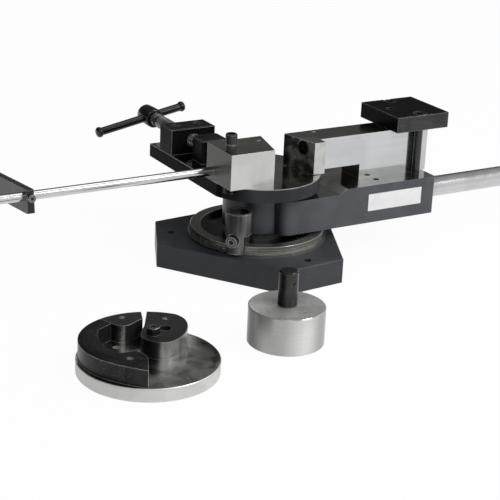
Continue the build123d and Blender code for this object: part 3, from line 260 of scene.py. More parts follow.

# side, rough, metal: the sides of the piece, and all of it where no face is named
# faces: (direction, colour, roughness, metal), laid over where a face looks that way, and
#   after them, where they aren't the common ones, the two limits of its mask; most named faces
#   are painted light and shade, a side or top made lighter or darker for how the light falls on it
# cloud: (direction, amount) of blotches on one face; on the forming block's nose a painted cloudy sheen
# marks: ("lines", stretch) or ("turned", centre, pitch), with grain as their strength
# patch, speck: strength of the handling; wearAndGlint: (width, colour, strength, breakup) of lighter or
# darker edges, rubbed wear and on some pieces a painted edge highlight
# rimGlintAbove: edges are lightened only above this height, a painted highlight along the table's top rim;
# footShade: (low, high, colour), darker downwards, a painted shade at a piece's foot
# pitShade: (centre, axes across it, radius, colour) of a round place painted dark as shade in a hole or
# recess, with no edge tint in it
finishes = {
    "basePaint": dict(
        side=(0.031, 0.033, 0.039), rough=0.36, metal=0.0, shine=0.35, bump=0.10,
        # painted light and shade: the top a little lighter, the front-left faces darker
        faces=[
            ((0, 0, 1), (0.036, 0.039, 0.045), 0.38, 0.0),
            ((-0.8, -0.6, 0), (0.018, 0.020, 0.023), 0.42, 0.0, 0.5, 1.0),
        ],
        patch=0.16, speck=0.10, wearAndGlint=(0.0009, (0.20, 0.21, 0.23), 0.55, 0.6),
    ),
    "ringSteel": dict(
        side=(0.26, 0.26, 0.24), rough=0.24, metal=0.75, bump=0.04,
        # painted light and shade: the top lighter, the left faces darker
        faces=[
            ((0, 0, 1), (0.36, 0.36, 0.33), 0.20, 0.9),
            ((-1, 0, 0), (0.04, 0.04, 0.036), 0.26, 0.8, 0.25, 0.90),
        ],
        marks=("turned", (0, 0, 0), 900.0), grain=0.16, patch=0.08,
        # the unbroken pale edges are a painted highlight along the ring's edges
        wearAndGlint=(0.0004, (0.80, 0.80, 0.77), 0.75, 0.0),
        # painted shade: the recess inside the ring dark
        pitShade=((0.0, 0.0, 0.0), (1, 1, 0), 0.0652, (0.022, 0.022, 0.019)),
    ),
    "columnSteel": dict(
        side=(0.20, 0.20, 0.19), rough=0.28, metal=0.9, bump=0.06,
        marks=("turned", (0, 0, 0), 1200.0), grain=0.25, patch=0.15,
        wearAndGlint=(0.0006, (0.6, 0.6, 0.58), 0.5, 0.5),
    ),
    "armPaint": dict(
        side=(0.072, 0.075, 0.085), rough=0.32, metal=0.0, shine=0.30, bump=0.08,
        faces=[
            ((0, 0, 1), (0.56, 0.56, 0.54), 0.15, 1.0),
            # painted shade: the left faces darker; the machined top above is the arm's own finish
            ((-1, 0, 0), (0.012, 0.013, 0.016), 0.32, 0.0, 0.30, 0.95),
        ],
        patch=0.12, speck=0.05, wearAndGlint=(0.0008, (0.30, 0.31, 0.33), 0.5, 0.5),
    ),
    "tableBlack": dict(
        side=(0.044, 0.045, 0.050), rough=0.28, metal=0.1, shine=0.02, bump=0.04,
        faces=[
            ((0, 0, 1), (0.60, 0.60, 0.56), 0.13, 1.0),
            # painted shade: the left faces nearly black
            ((-1, 0, 0), (0.003, 0.003, 0.004), 0.36, 0.0, 0.5, 0.95),
        ],
        # painted highlight along the table's top rim: near-white edges, kept above the top's height
        patch=0.16, wearAndGlint=(0.0010, (0.90, 0.90, 0.88), 0.95, 0.20), rimGlintAbove=0.1015,
        # painted shade in a round hole in the top
        pitShade=((-0.0592, -0.0360, 0.0), (1, 1, 0), 0.0095, (0.014, 0.014, 0.016)),
    ),
    "dieSteel": dict(
        side=(0.58, 0.58, 0.57), rough=0.32, metal=0.80, bump=0.04,
        # painted light and shade: the left faces dark, the top darker than the sides
        faces=[
            ((-1, 0, 0), (0.075, 0.075, 0.070), 0.28, 0.9),
            ((0, 0, 1), (0.46, 0.46, 0.41), 0.20, 1.0),
        ],
        marks=("lines", (500, 10, 10)), grain=0.03, patch=0.06,
        wearAndGlint=(0.0006, (0.95, 0.95, 0.93), 0.7, 0.2),
    ),
    "blockSteel": dict(
        side=(0.52, 0.52, 0.51), rough=0.28, metal=0.80, bump=0.04,
        # painted shade: the left faces and the top darker than the sides
        faces=[
            ((-1, 0, 0), (0.135, 0.135, 0.132), 0.20, 0.8),
            ((0, 0, 1), (0.42, 0.42, 0.38), 0.22, 1.0),
        ],
        # the nose's blotches are a painted cloudy sheen
        marks=("lines", (500, 10, 10)), grain=0.06, patch=0.12, patchScale=55.0, cloud=((-1, 0, 0), 0.8),
        wearAndGlint=(0.0008, (0.85, 0.85, 0.83), 0.8, 0.4),
        # painted shade in the bore on the nose
        pitShade=((0.0, -0.0224, 0.1325), (0, 1, 1), 0.0081, (0.006, 0.006, 0.006)),
    ),
    "webSteel": dict(
        side=(0.56, 0.57, 0.58), rough=0.13, metal=0.95, bump=0.03,
        # painted shade: the top, the underside and the left faces darker than the sides
        faces=[
            ((0, 0, 1), (0.40, 0.40, 0.37), 0.18, 1.0),
            ((0, 0, -1), (0.10, 0.10, 0.09), 0.35, 0.9),
            ((-1, 0, 0), (0.030, 0.029, 0.025), 0.30, 0.7),
        ],
        marks=("lines", (8, 500, 500)), grain=0.035, patch=0.07, patchScale=14.0,
        wearAndGlint=(0.0006, (0.9, 0.9, 0.88), 0.6, 0.4),
    ),
    "plateBlack": dict(
        side=(0.055, 0.055, 0.055), rough=0.38, metal=0.5, shine=0.03, bump=0.06,
        # painted shade: the top and the left faces darker than the sides
        faces=[
            ((0, 0, 1), (0.006, 0.006, 0.0055), 0.42, 0.0),
            ((-1, 0, 0), (0.003, 0.003, 0.003), 0.38, 0.0),
        ],
        marks=("lines", (60, 60, 700)), grain=0.15, patch=0.20, speck=0.06,
        wearAndGlint=(0.0009, (0.45, 0.45, 0.44), 0.8, 0.4),
    ),
    "viseBlack": dict(
        side=(0.004, 0.004, 0.0045), rough=0.28, metal=0.0, shine=0.06, bump=0.08,
        # painted light and shade: the top a little lighter, the left faces darker
        faces=[
            ((0, 0, 1), (0.012, 0.012, 0.012), 0.32, 0.0),
            ((-1, 0, 0), (0.002, 0.002, 0.002), 0.38, 0.0),
        ],
        patch=0.35, speck=0.05, wearAndGlint=(0.0010, (0.50, 0.50, 0.49), 0.9, 0.30),
    ),
    "blackOxide": dict(
        side=(0.022, 0.022, 0.023), rough=0.32, metal=0.6, bump=0.06,
        patch=0.30, speck=0.10, wearAndGlint=(0.0008, (0.36, 0.36, 0.35), 0.7, 0.4),
    ),
    "postOxide": dict(
        side=(0.105, 0.106, 0.108), rough=0.24, metal=0.8, bump=0.06,
        # painted shade on the left faces
        faces=[((-1, 0, 0), (0.010, 0.010, 0.011), 0.28, 0.7, 0.35, 0.9)],
        marks=("lines", (300, 300, 10)), grain=0.30, patch=0.25, speck=0.05,
        # rubbed edges, made strong to paint the highlight on the post's rim
        wearAndGlint=(0.0011, (0.62, 0.62, 0.60), 0.9, 0.2),
    ),
    "boltBlack": dict(
        side=(0.004, 0.004, 0.0045), rough=0.14, metal=0.0, shine=0.60, bump=0.03,
        patch=0.2, wearAndGlint=(0.0006, (0.35, 0.35, 0.34), 0.6, 0.4),
    ),
    "screwOxide": dict(
        side=(0.04, 0.04, 0.04), rough=0.24, metal=0.8, bump=0.04,
        # rubbed edges, made wide to paint the bright highlight on the screw heads' rims
        patch=0.2, wearAndGlint=(0.0013, (0.75, 0.75, 0.73), 0.9, 0.15),
    ),
    "teeBlack": dict(
        side=(0.004, 0.004, 0.0045), rough=0.13, metal=0.0, shine=0.40, bump=0.03,
        patch=0.3, wearAndGlint=(0.0005, (0.3, 0.3, 0.3), 0.4, 0.5),
    ),
    "threadSteel": dict(
        side=(0.16, 0.16, 0.155), rough=0.24, metal=0.95, bump=0.04,
        patch=0.3, speck=0.05, wearAndGlint=(0.0004, (0.6, 0.6, 0.58), 0.7, 0.3),
    ),
    "formerSteel": dict(
        side=(0.20, 0.20, 0.20), rough=0.24, metal=0.9, bump=0.08,
        # painted shade: the top and the left faces darker than the sides
        faces=[
            ((0, 0, 1), (0.010, 0.010, 0.010), 0.38, 0.0),
            ((-1, 0, 0), (0.020, 0.020, 0.020), 0.26, 0.8, 0.35, 0.95),
        ],
        marks=("lines", (25, 25, 600)), grain=0.14, patch=0.20, speck=0.20,
        wearAndGlint=(0.0008, (0.60, 0.60, 0.59), 0.85, 0.35),
    ),
    "crescentSteel": dict(
        side=(0.026, 0.026, 0.026), rough=0.32, metal=0.6, shine=0.10, bump=0.08,
        # painted shade: the top darker than the sides
        faces=[((0, 0, 1), (0.010, 0.010, 0.010), 0.38, 0.0)],
        marks=("lines", (25, 25, 600)), grain=0.12, patch=0.30, speck=0.25,
        wearAndGlint=(0.0010, (0.75, 0.75, 0.74), 0.95, 0.45),
    ),
    "shankSteel": dict(
        side=(0.045, 0.045, 0.045), rough=0.22, metal=0.7, shine=0.1, bump=0.06,
        # painted shade on the side turned away to the left
        faces=[((-0.856, 0.517, 0), (0.004, 0.004, 0.004), 0.30, 0.3, 0.10, 0.75)],
        marks=("lines", (25, 25, 500)), grain=0.12, patch=0.25,
        wearAndGlint=(0.0008, (0.4, 0.4, 0.39), 0.35, 0.35),
    ),
    "discSteel": dict(
        side=(0.60, 0.60, 0.59), rough=0.42, metal=0.60, bump=0.05,
        faces=[((0, 0, 1), (0.80, 0.80, 0.75), 0.14, 1.0)],
        marks=("lines", (8, 8, 900)), grain=0.05, patch=0.07, patchScale=42.0, cloud=((0, 0, 1), 0.30),
        wearAndGlint=(0.0005, (0.85, 0.85, 0.83), 0.45, 0.1),
    ),
    "roundSteel": dict(
        side=(0.66, 0.66, 0.65), rough=0.27, metal=1.0, bump=0.02,
        # painted light and shade round the side: dark at the far left, brightest right of centre, darker
        # again at the far right, and a painted level on the top
        faces=[
            ((-0.856, 0.517, 0), (0.38, 0.38, 0.37), 0.27, 1.0, -0.50, 0.15),
            ((-0.856, 0.517, 0), (0.09, 0.09, 0.088), 0.27, 1.0, 0.50, 0.95),
            ((0.856, -0.517, 0), (0.34, 0.34, 0.33), 0.27, 1.0, 0.55, 1.00),
            ((0, 0, 1), (0.55, 0.55, 0.54), 0.25, 0.62),
        ],
        marks=("turned", (-0.0947, -0.2218, 0), 1600.0), grain=0.07, patch=0.05,
        wearAndGlint=(0.0004, (0.60, 0.60, 0.59), 0.35, 0.1),
        anisotropic=0.85,
    ),
    "chromeRod": dict(
        side=(0.56, 0.56, 0.57), rough=0.13, metal=1.0, bump=0.01,
        marks=("lines", (4, 300, 300)), grain=0.08, patch=0.06, wearAndGlint=(0.0005, (0.9, 0.9, 0.9), 0.3, 0.5),
    ),
    "pinSteel": dict(
        side=(0.055, 0.055, 0.055), rough=0.18, metal=0.9, bump=0.03,
        # painted shade: the top and the left faces darker
        faces=[
            ((0, 0, 1), (0.012, 0.012, 0.012), 0.30, 0.5),
            ((-1, 0, 0), (0.012, 0.012, 0.012), 0.24, 0.8, 0.3, 0.95),
        ],
        # painted shade at the pin's foot, darker downwards
        footShade=(0.1020, 0.1060, (0.004, 0.004, 0.004)),
        patch=0.15, wearAndGlint=(0.0007, (0.75, 0.75, 0.74), 0.8, 0.4),
    ),
    "brightPin": dict(
        side=(0.55, 0.55, 0.54), rough=0.25, metal=0.95, bump=0.03,
        patch=0.15, wearAndGlint=(0.0005, (0.85, 0.85, 0.84), 0.5, 0.5),
    ),
    "bronze": dict(
        side=(0.40, 0.27, 0.12), rough=0.35, metal=0.9, bump=0.05,
        marks=("turned", (0, 0, 0), 900.0), grain=0.2, patch=0.2, wearAndGlint=(0.0006, (0.7, 0.5, 0.28), 0.5, 0.5),
    ),
}

# what every finish shares
common = dict(
    faceLimits=(0.55, 0.95), patchScale=30.0, broadGrain=0.6, gritUnderMarks=0.4,
    speckColour=(0.22, 0.22, 0.21), smearFrom=-0.02, smearTo=0.05, edgeTintMetal=0.6,
    rimGlintHalf=0.0005, pitHalf=0.0001, ringTurn=0.25, bumpDepth=0.0004,
)


def newMaterial(name):
    material = bpy.data.materials.new(name)
    material.use_nodes = True
    return material, material.node_tree


def faceMask(tree, direction, start, end):
    return useGroup(tree, facing, Direction=direction, Start=start, End=end).outputs["Mask"]


def layFaces(tree, look):
    # colour, roughness and metal of the sides, with each named face laid over them; most named faces are
    # painted light and shade, and footShade paints shade darker downwards
    colour, rough, metal = look["side"], look["rough"], look["metal"]
    for direction, faceColour, faceRough, faceMetal, *limits in look.get("faces", []):
        start, end = limits or common["faceLimits"]
        seen = faceMask(tree, direction, start, end)
        colour = mixColour(tree, seen, colour, faceColour)
        rough = spread(tree, seen, 0.0, 1.0, rough, faceRough)
        metal = spread(tree, seen, 0.0, 1.0, metal, faceMetal)
    # painted shade, darker downwards towards a piece's foot
    if "footShade" in look:
        low, high, footShadeColour = look["footShade"]
        colour = mixColour(tree, spread(tree, heightOf(tree), high, low), colour, footShadeColour)
    return colour, rough, metal


def shadeMarks(tree, look, touched):
    # how much lighter or darker each spot is, and the height that the bump follows
    patches = touched.outputs["Patches"]
    lift = spread(tree, patches, 0.0, 1.0, 1.0 - look["patch"], 1.0 + look["patch"])
    bumpHeight = touched.outputs["Grit"]
    # blotches on one face; on the forming block's nose they paint a cloudy sheen
    if "cloud" in look:
        direction, amount = look["cloud"]
        seen = faceMask(tree, direction, *common["faceLimits"])
        blotch = doMath(tree, "MULTIPLY", seen, spread(tree, patches, 0.0, 1.0, -amount, amount))
        lift = doMath(tree, "MULTIPLY", lift, doMath(tree, "ADD", blotch, 1.0))
    if "marks" in look:
        kind, *values = look["marks"]
        if kind == "lines":
            marked = useGroup(tree, groundLines, Stretch=values[0])
        else:
            marked = useGroup(tree, turnedMarks, Centre=values[0], Pitch=values[1])
        grain, wide = look["grain"], common["broadGrain"] * look["grain"]
        fine = spread(tree, marked.outputs[0], 0.0, 1.0, 1.0 - grain, 1.0 + grain)
        broad = spread(tree, marked.outputs["Broad"], 0.0, 1.0, 1.0 - wide, 1.0 + wide)
        lift = doMath(tree, "MULTIPLY", lift, doMath(tree, "MULTIPLY", fine, broad))
        grit = doMath(tree, "MULTIPLY", bumpHeight, common["gritUnderMarks"])
        bumpHeight = doMath(tree, "ADD", grit, marked.outputs[0])
    return lift, bumpHeight


def wearAndGlintOnEdges(tree, look):
    # lighter or darker edges: rubbed wear, and on the ring, the table's top rim, the stop post and the screw
    # heads also a painted edge highlight
    width, edgeTintColour, strength, breakup = look["wearAndGlint"]
    edges = useGroup(tree, edgeWearAndGlint, Width=width, Breakup=breakup)
    edgeTint = doMath(tree, "MULTIPLY", edges.outputs["Mask"], strength)
    # painted rim highlight: edges lightened only above the given height
    if "rimGlintAbove" in look:
        low, half = look["rimGlintAbove"], common["rimGlintHalf"]
        edgeTint = doMath(tree, "MULTIPLY", edgeTint, spread(tree, heightOf(tree), low - half, low + half))
    return edgeTint, edgeTintColour


def pitShadeMask(tree, centre, across, radius):
    # a round place painted dark as shade in a hole or recess
    moved = doVector(tree, "SUBTRACT", objectPlace(tree), centre)
    flat = doVector(tree, "MULTIPLY", moved.outputs[0], across)
    away = doVector(tree, "LENGTH", flat.outputs[0])
    half = common["pitHalf"]
    return spread(tree, away.outputs["Value"], radius + half, radius - half)


def setGloss(tree, look, shader):
    if "shine" in look:
        shader.inputs["Specular IOR Level"].default_value = look["shine"]
    if "anisotropic" in look:
        shader.inputs["Anisotropic"].default_value = look["anisotropic"]
        shader.inputs["Anisotropic Rotation"].default_value = common["ringTurn"]
        around = addNode(tree, "ShaderNodeTangent", direction_type="RADIAL", axis="Z")
        tree.links.new(around.outputs[0], shader.inputs["Tangent"])


def makeFinish(name, look):
    material, tree = newMaterial(name)
    shader = tree.nodes["Principled BSDF"]
    colour, rough, metal = layFaces(tree, look)
    touched = useGroup(tree, handling, Scale=look.get("patchScale", common["patchScale"]))
    lift, bumpHeight = shadeMarks(tree, look, touched)
    grey = addNode(tree, "ShaderNodeCombineColor", {0: lift, 1: lift, 2: lift})
    colour = mixColour(tree, 1.0, colour, grey.outputs[0], "MULTIPLY")
    if "speck" in look:
        dots = doMath(tree, "MULTIPLY", touched.outputs["Specks"], look["speck"])
        colour = mixColour(tree, dots, colour, common["speckColour"])
    edgeTint, edgeTintColour = wearAndGlintOnEdges(tree, look)
    # painted shade in a hole or recess, with no edge tint there
    if "pitShade" in look:
        *place, pitShadeColour = look["pitShade"]
        inPitShade = pitShadeMask(tree, *place)
        colour = mixColour(tree, inPitShade, colour, pitShadeColour)
        edgeTint = doMath(tree, "MULTIPLY", edgeTint, doMath(tree, "SUBTRACT", 1.0, inPitShade))
    colour = mixColour(tree, edgeTint, colour, edgeTintColour)
    tree.links.new(colour, shader.inputs["Base Color"])
    smear = spread(tree, touched.outputs["Patches"], 0.0, 1.0, common["smearFrom"], common["smearTo"])
    tree.links.new(doMath(tree, "ADD", rough, smear), shader.inputs["Roughness"])
    tree.links.new(spread(tree, edgeTint, 0.0, 1.0, metal, common["edgeTintMetal"]), shader.inputs["Metallic"])
    setGloss(tree, look, shader)
    bump = {"Strength": look["bump"], "Distance": common["bumpDepth"], "Height": bumpHeight}
    relief = addNode(tree, "ShaderNodeBump", bump)
    tree.links.new(relief.outputs[0], shader.inputs["Normal"])
    return material


materials = {name: makeFinish(name, look) for name, look in finishes.items()}
print("finishes made:", len(materials))

finishOf = {
    "basePaint": ["base_plate"],
    "ringSteel": ["index_ring"],
    "columnSteel": ["pivot_column", "thrust_washer"],
    "bronze": ["lower_washer", "pivot_bush"],
    "armPaint": ["swing_arm"],
    "tableBlack": ["table_plate"],
    "dieSteel": ["angle_die"],
    "blockSteel": ["forming_block"],
    "webSteel": ["slide_carriage", "slide_key"],
    "plateBlack": ["hold_down_plate"],
    "viseBlack": ["vise_nut_block", "vise_jaw", "nut_block_screws"],
    "blackOxide": ["stop_bracket"],
    "postOxide": ["angle_stop_post"],
    "boltBlack": ["plate_bolts", "centre_bolt", "forming_block_screw"],
    "screwOxide": [
        "ring_screws", "column_screws", "bracket_screw",
        "slide_clamp_screw", "stop_clamp_screw", "scroll_screw", "former_screws",
    ],
    "formerSteel": ["lobe_former", "snail_former"],
    "crescentSteel": ["crescent_former"],
    "shankSteel": ["round_die_shank"],
    "discSteel": ["scroll_disc"],
    "roundSteel": ["round_die"],
    "chromeRod": ["stop_rod", "handle_tube", "handle_stud"],
    "pinSteel": ["die_pin"],
    "brightPin": ["block_grub_screw", "table_dowels", "die_dowel", "jaw_pin", "hub_pin", "scroll_dowels"],
    "teeBlack": ["screw_hub", "tee_bar", "tee_balls"],
    "threadSteel": ["vise_screw"],
}

for finish, nodeNames in finishOf.items():
    for nodeName in nodeNames:
        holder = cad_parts[nodeName]
        if not holder.material_slots:
            holder.data.materials.append(None)
        for slot in holder.material_slots:
            slot.material = materials[finish]
print("finishes on the frame")

weld = 1e-6  # points nearer than this are one


def meshFrom(name, shape):
    mesh = bpy.data.meshes.new(name)
    shape.to_mesh(mesh)
    shape.free()
    return mesh


def finishPiece(name, shape, body, finish, smooth=40.0):
    # smooth: edges that turn by more degrees than this stay sharp
    bmesh.ops.remove_doubles(shape, verts=shape.verts, dist=weld)
    bmesh.ops.recalc_face_normals(shape, faces=shape.faces)
    mesh = meshFrom(name, shape)
    piece = addObject(name, mesh)
    mesh.materials.append(finish)
    mesh.shade_smooth()
    mesh.set_sharp_from_angle(angle=radians(smooth))
    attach(piece, body)
    return piece


def turned(outline, steps, frameOf):
    # an outline of (along, radius) points turned right round its own axis, then laid in place
    shape = bmesh.new()
    points = [shape.verts.new((along, radius, 0.0)) for along, radius in outline]
    edges = [shape.edges.new(pair) for pair in zip(points, points[1:])]
    bmesh.ops.spin(
        shape, geom=points + edges, cent=(0, 0, 0), axis=(1, 0, 0), angle=2 * pi, steps=steps,
        use_merge=True, use_duplicate=False,
    )
    bmesh.ops.remove_doubles(shape, verts=shape.verts, dist=weld)
    bmesh.ops.transform(shape, matrix=frameOf, verts=shape.verts)
    return shape


def axisFrame(origin, along):
    # x runs along the axis
    first = Vector(along).normalized()
    third = first.cross(Vector((0, 0, 1))).normalized()
    second = third.cross(first)
    spun = Matrix((first, second, third)).transposed().to_4x4()
    return Matrix.Translation(origin) @ spun


def cutBy(shape, cutter):
    # takes the cutter's volume out of a closed shape
    made = []
    for name, source in (("shapeBody", shape), ("shapeCutter", cutter)):
        bmesh.ops.recalc_face_normals(source, faces=source.faces)
        made.append(addObject(name, meshFrom(name, source)))
    body, tool = made
    cut = body.modifiers.new("cut", "BOOLEAN")
    cut.operation, cut.solver, cut.object = "DIFFERENCE", "EXACT", tool
    bpy.context.view_layer.update()
    graph = bpy.context.evaluated_depsgraph_get()
    done = bpy.data.meshes.new_from_object(body.evaluated_get(graph))
    result = bmesh.new()
    result.from_mesh(done)
    bpy.data.meshes.remove(done)
    for used in made:
        mesh = used.data
        bpy.data.objects.remove(used)
        bpy.data.meshes.remove(mesh)
    return result


# the screw's axis runs along Y, and the tee bar crosses it at teeY, tilted about Y by teeTilt degrees
clampAxis = dict(x=-0.0375, z=0.1195, hubFront=0.1890, teeY=0.2020, teeTilt=10.8, barRadius=0.0049)


def alongScrew():
    return axisFrame((clampAxis["x"], 0.0, clampAxis["z"]), (0, 1, 0))


def alongTee():
    tilt = radians(clampAxis["teeTilt"])
    place = (clampAxis["x"], clampAxis["teeY"], clampAxis["z"])
    return axisFrame(place, (cos(tilt), 0, sin(tilt)))


viseScrew = dict(
    steps=48, smooth=50.0, tip=0.0600, tipRadius=0.0054, tipCut=0.0006, endRadius=0.0059,
    grooveAt=0.0645, grooveHalf=0.0018, grooveRadius=0.0042,
    threadFrom=0.0728, threadTo=0.1722, leadIn=0.0004, leadOut=0.0008, rowGap=0.0005,
    crest=0.0080, root=0.0067, pitch=0.0040, flank=2.4, land=0.7, runOut=0.002, overNeck=0.001,
    neck=0.0064, collarFrom=0.1805, collarCut=0.0006, collars=3, collarPitch=0.0028,
    collarWide=0.0017, valleyFrom=0.0020, valleyTo=0.0025, valleyDepth=0.0008,
    hubGap=0.0005, inHub=0.0060,
)


def screwOutline(look):
    crest, neck, collarFrom = look["crest"], look["neck"], look["collarFrom"]
    tip, end, low = look["tip"], look["endRadius"], look["grooveRadius"]
    grooveFrom, grooveTo = look["grooveAt"] - look["grooveHalf"], look["grooveAt"] + look["grooveHalf"]
    threadFrom, threadTo = look["threadFrom"], look["threadTo"]
    outline = [(tip, 0.0), (tip, look["tipRadius"]), (tip + look["tipCut"], end), (grooveFrom, end)]
    outline += [(grooveFrom, low), (grooveTo, low), (grooveTo, end), (threadFrom - look["leadIn"], end)]
    rows = round((threadTo - threadFrom) / look["rowGap"])
    gap = (threadTo - threadFrom) / rows
    outline += [(threadFrom + gap * row, crest) for row in range(rows + 1)]
    outline += [(threadTo + look["leadOut"], neck), (collarFrom - look["collarCut"], neck)]
    valley = crest - look["valleyDepth"]
    for collar in range(look["collars"]):
        start = collarFrom + collar * look["collarPitch"]
        outline += [(start, crest), (start + look["collarWide"], crest)]
        outline += [(start + look["valleyFrom"], valley), (start + look["valleyTo"], valley)]
    back = clampAxis["hubFront"] + look["inHub"]
    outline += [(clampAxis["hubFront"] + look["hubGap"], neck), (back, neck), (back, 0.0)]
    return outline


def cutThread(shape, look):
    # draws the plain crest down to the root along a helix, and fades it out at both ends
    threadFrom, threadTo, crest = look["threadFrom"], look["threadTo"], look["crest"]
    for v in shape.verts:
        wide = hypot(v.co.y, v.co.z)
        if threadFrom < v.co.x < threadTo and wide > look["neck"] + look["overNeck"]:
            turn = (v.co.x / look["pitch"] - atan2(v.co.z, v.co.y) / (2 * pi)) % 1.0
            slope = look["flank"] * (1.0 - abs(4.0 * turn - 2.0) / 2.0) - look["land"]
            depth = min(1.0, max(0.0, slope))
            fade = min(1.0, (v.co.x - threadFrom) / look["runOut"], (threadTo - v.co.x) / look["runOut"])
            scale = (crest - (crest - look["root"]) * depth * fade) / wide
            v.co.y, v.co.z = v.co.y * scale, v.co.z * scale


def makeViseScrew(look):
    shape = turned(screwOutline(look), look["steps"], Matrix.Identity(4))
    cutThread(shape, look)
    bmesh.ops.transform(shape, matrix=alongScrew(), verts=shape.verts)
    steel, smooth = materials["threadSteel"], look["smooth"]
    piece = finishPiece("viseScrewThreaded", shape, "screw", steel, smooth=smooth)
    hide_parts("vise_screw")


# frontRound and backRound: where each rounding starts; frontCut and backCut: its middle point
screwHub = dict(
    steps=64, smooth=50.0, back=0.2165, radius=0.0118,
    frontRound=0.0018, frontCut=0.0006, backRound=0.0022, backCut=0.0007, boreGap=0.0002, boreSteps=40,
)


def makeScrewHub(look):
    front, back, wide = clampAxis["hubFront"], look["back"], look["radius"]
    frontRound, frontCut = look["frontRound"], look["frontCut"]
    backRound, backCut = look["backRound"], look["backCut"]
    outline = [(front, 0.0), (front, wide - frontRound), (front + frontCut, wide - frontCut)]
    outline += [(front + frontRound, wide), (back - backRound, wide)]
    outline += [(back - backCut, wide - backCut), (back, wide - backRound), (back, 0.0)]
    shape = turned(outline, look["steps"], alongScrew())
    gap, reach = clampAxis["barRadius"] + look["boreGap"], 2 * wide
    bore = turned([(-reach, 0.0), (-reach, gap), (reach, gap), (reach, 0.0)], look["boreSteps"], alongTee())
    black, smooth = materials["teeBlack"], look["smooth"]
    piece = finishPiece("screwHubTurned", cutBy(shape, bore), "screw", black, smooth=smooth)
    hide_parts("screw_hub")


# knobLeft and knobRight: the knobs' middles, along the bar from the screw's axis
tee = dict(
    steps=40, knobSmooth=60.0, knobLeft=-0.0702, knobRight=0.0432, knobRadius=0.0065, knobHalf=0.0042,
    knobFullness=0.6, knobStep=10,
)


def knobOutline(middle, look):
    outline = []
    for angle in range(-90, 91, look["knobStep"]):
        rise = cos(radians(angle)) ** look["knobFullness"] if abs(angle) < 90 else 0.0
        outline.append((middle + look["knobHalf"] * sin(radians(angle)), look["knobRadius"] * rise))
    return outline


def makeTee(look):
    place, black = alongTee(), materials["teeBlack"]
    left, right, bar = look["knobLeft"], look["knobRight"], clampAxis["barRadius"]
    shape = turned([(left, 0.0), (left, bar), (right, bar), (right, 0.0)], look["steps"], place)
    piece = finishPiece("teeBarTurned", shape, "tee", black)
    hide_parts("tee_bar")
    knobs = bmesh.new()
    for middle in (left, right):
        mesh = meshFrom("knobShape", turned(knobOutline(middle, look), look["steps"], place))
        knobs.from_mesh(mesh)
        bpy.data.meshes.remove(mesh)
    piece = finishPiece("teeKnobs", knobs, "tee", black, smooth=look["knobSmooth"])
    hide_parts("tee_balls")


# the crescent's outer wall draws in from the disc's rim, most of all at four fifths of the way to its toe
# x, y: the disc's centre; wall: points further out than this are moved; seam, toe: degrees round the disc
crescent = dict(
    x=-0.2519, y=-0.2252, wall=0.0680, seam=107.5, toe=243.4, drawIn=0.0050, lean=2.9, smooth=30.0,
)


def makeCrescent(look):
    shape = bmesh.new()
    shape.from_mesh(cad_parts["crescent_former"].data)
    bmesh.ops.remove_doubles(shape, verts=shape.verts, dist=weld)
    for v in shape.verts:
        across, along = v.co.x - look["x"], v.co.y - look["y"]
        radius = hypot(across, along)
        share = (degrees(atan2(along, across)) % 360.0 - look["seam"]) / (look["toe"] - look["seam"])
        if radius > look["wall"] and 0.0 < share < 1.0:
            scale = 1.0 - look["drawIn"] * sin(pi * share ** look["lean"]) / radius
            v.co.x, v.co.y = look["x"] + across * scale, look["y"] + along * scale
    steel, smooth = materials["crescentSteel"], look["smooth"]
    piece = finishPiece("crescentDrawnIn", shape, "scroll_die", steel, smooth=smooth)
    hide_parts("crescent_former")


makeViseScrew(viseScrew)
makeScrewHub(screwHub)
makeTee(tee)
makeCrescent(crescent)
print("clamp screw, tee and crescent made")

# a plain plate on the arm's front, and its pale paint
label = dict(
    left=0.1165, right=0.1920, low=0.0565, high=0.0770, front=-0.0550, thick=0.0003, corner=0.0008,
    cornerSteps=4,
)
labelPaint = dict(
    patchScale=60.0, pale=(0.78, 0.78, 0.79), palest=(0.84, 0.84, 0.85), roughFrom=0.34, roughTo=0.44,
    wornWidth=0.0006, wornBreakup=0.4, wornStrength=0.6, edgeTintColour=(0.45, 0.45, 0.46),
    bump=0.05, bumpDepth=0.0002,
)


def makeLabelFinish(look):
    material, tree = newMaterial("labelWhite")
    shader = tree.nodes["Principled BSDF"]
    touched = useGroup(tree, handling, Scale=look["patchScale"])
    edges = useGroup(tree, edgeWearAndGlint, Width=look["wornWidth"], Breakup=look["wornBreakup"])
    patches = touched.outputs["Patches"]
    paper = mixColour(tree, patches, look["pale"], look["palest"])
    edgeTint = doMath(tree, "MULTIPLY", edges.outputs["Mask"], look["wornStrength"])
    paper = mixColour(tree, edgeTint, paper, look["edgeTintColour"])
    tree.links.new(paper, shader.inputs["Base Color"])
    rough = spread(tree, patches, 0.0, 1.0, look["roughFrom"], look["roughTo"])
    tree.links.new(rough, shader.inputs["Roughness"])
    bump = {"Strength": look["bump"], "Distance": look["bumpDepth"], "Height": touched.outputs["Grit"]}
    relief = addNode(tree, "ShaderNodeBump", bump)
    tree.links.new(relief.outputs[0], shader.inputs["Normal"])
    return material


def makeLabel(look, paint):
    shape = bmesh.new()
    bmesh.ops.create_cube(shape, size=1.0)
    left, right, low, high, thick = look["left"], look["right"], look["low"], look["high"], look["thick"]
    bmesh.ops.scale(shape, vec=(right - left, thick, high - low), verts=shape.verts)
    middle = ((left + right) / 2, look["front"] - thick / 2, (low + high) / 2)
    bmesh.ops.translate(shape, vec=middle, verts=shape.verts)
    corners = [e for e in shape.edges if abs((e.verts[0].co - e.verts[1].co).y) > thick / 2]
    bmesh.ops.bevel(
        shape, geom=corners, offset=look["corner"], affect="EDGES", segments=look["cornerSteps"],
        profile=0.5, material=-1,
    )
    finishPiece("armLabel", shape, "arm", makeLabelFinish(paint))


makeLabel(label, labelPaint)
print("label made")

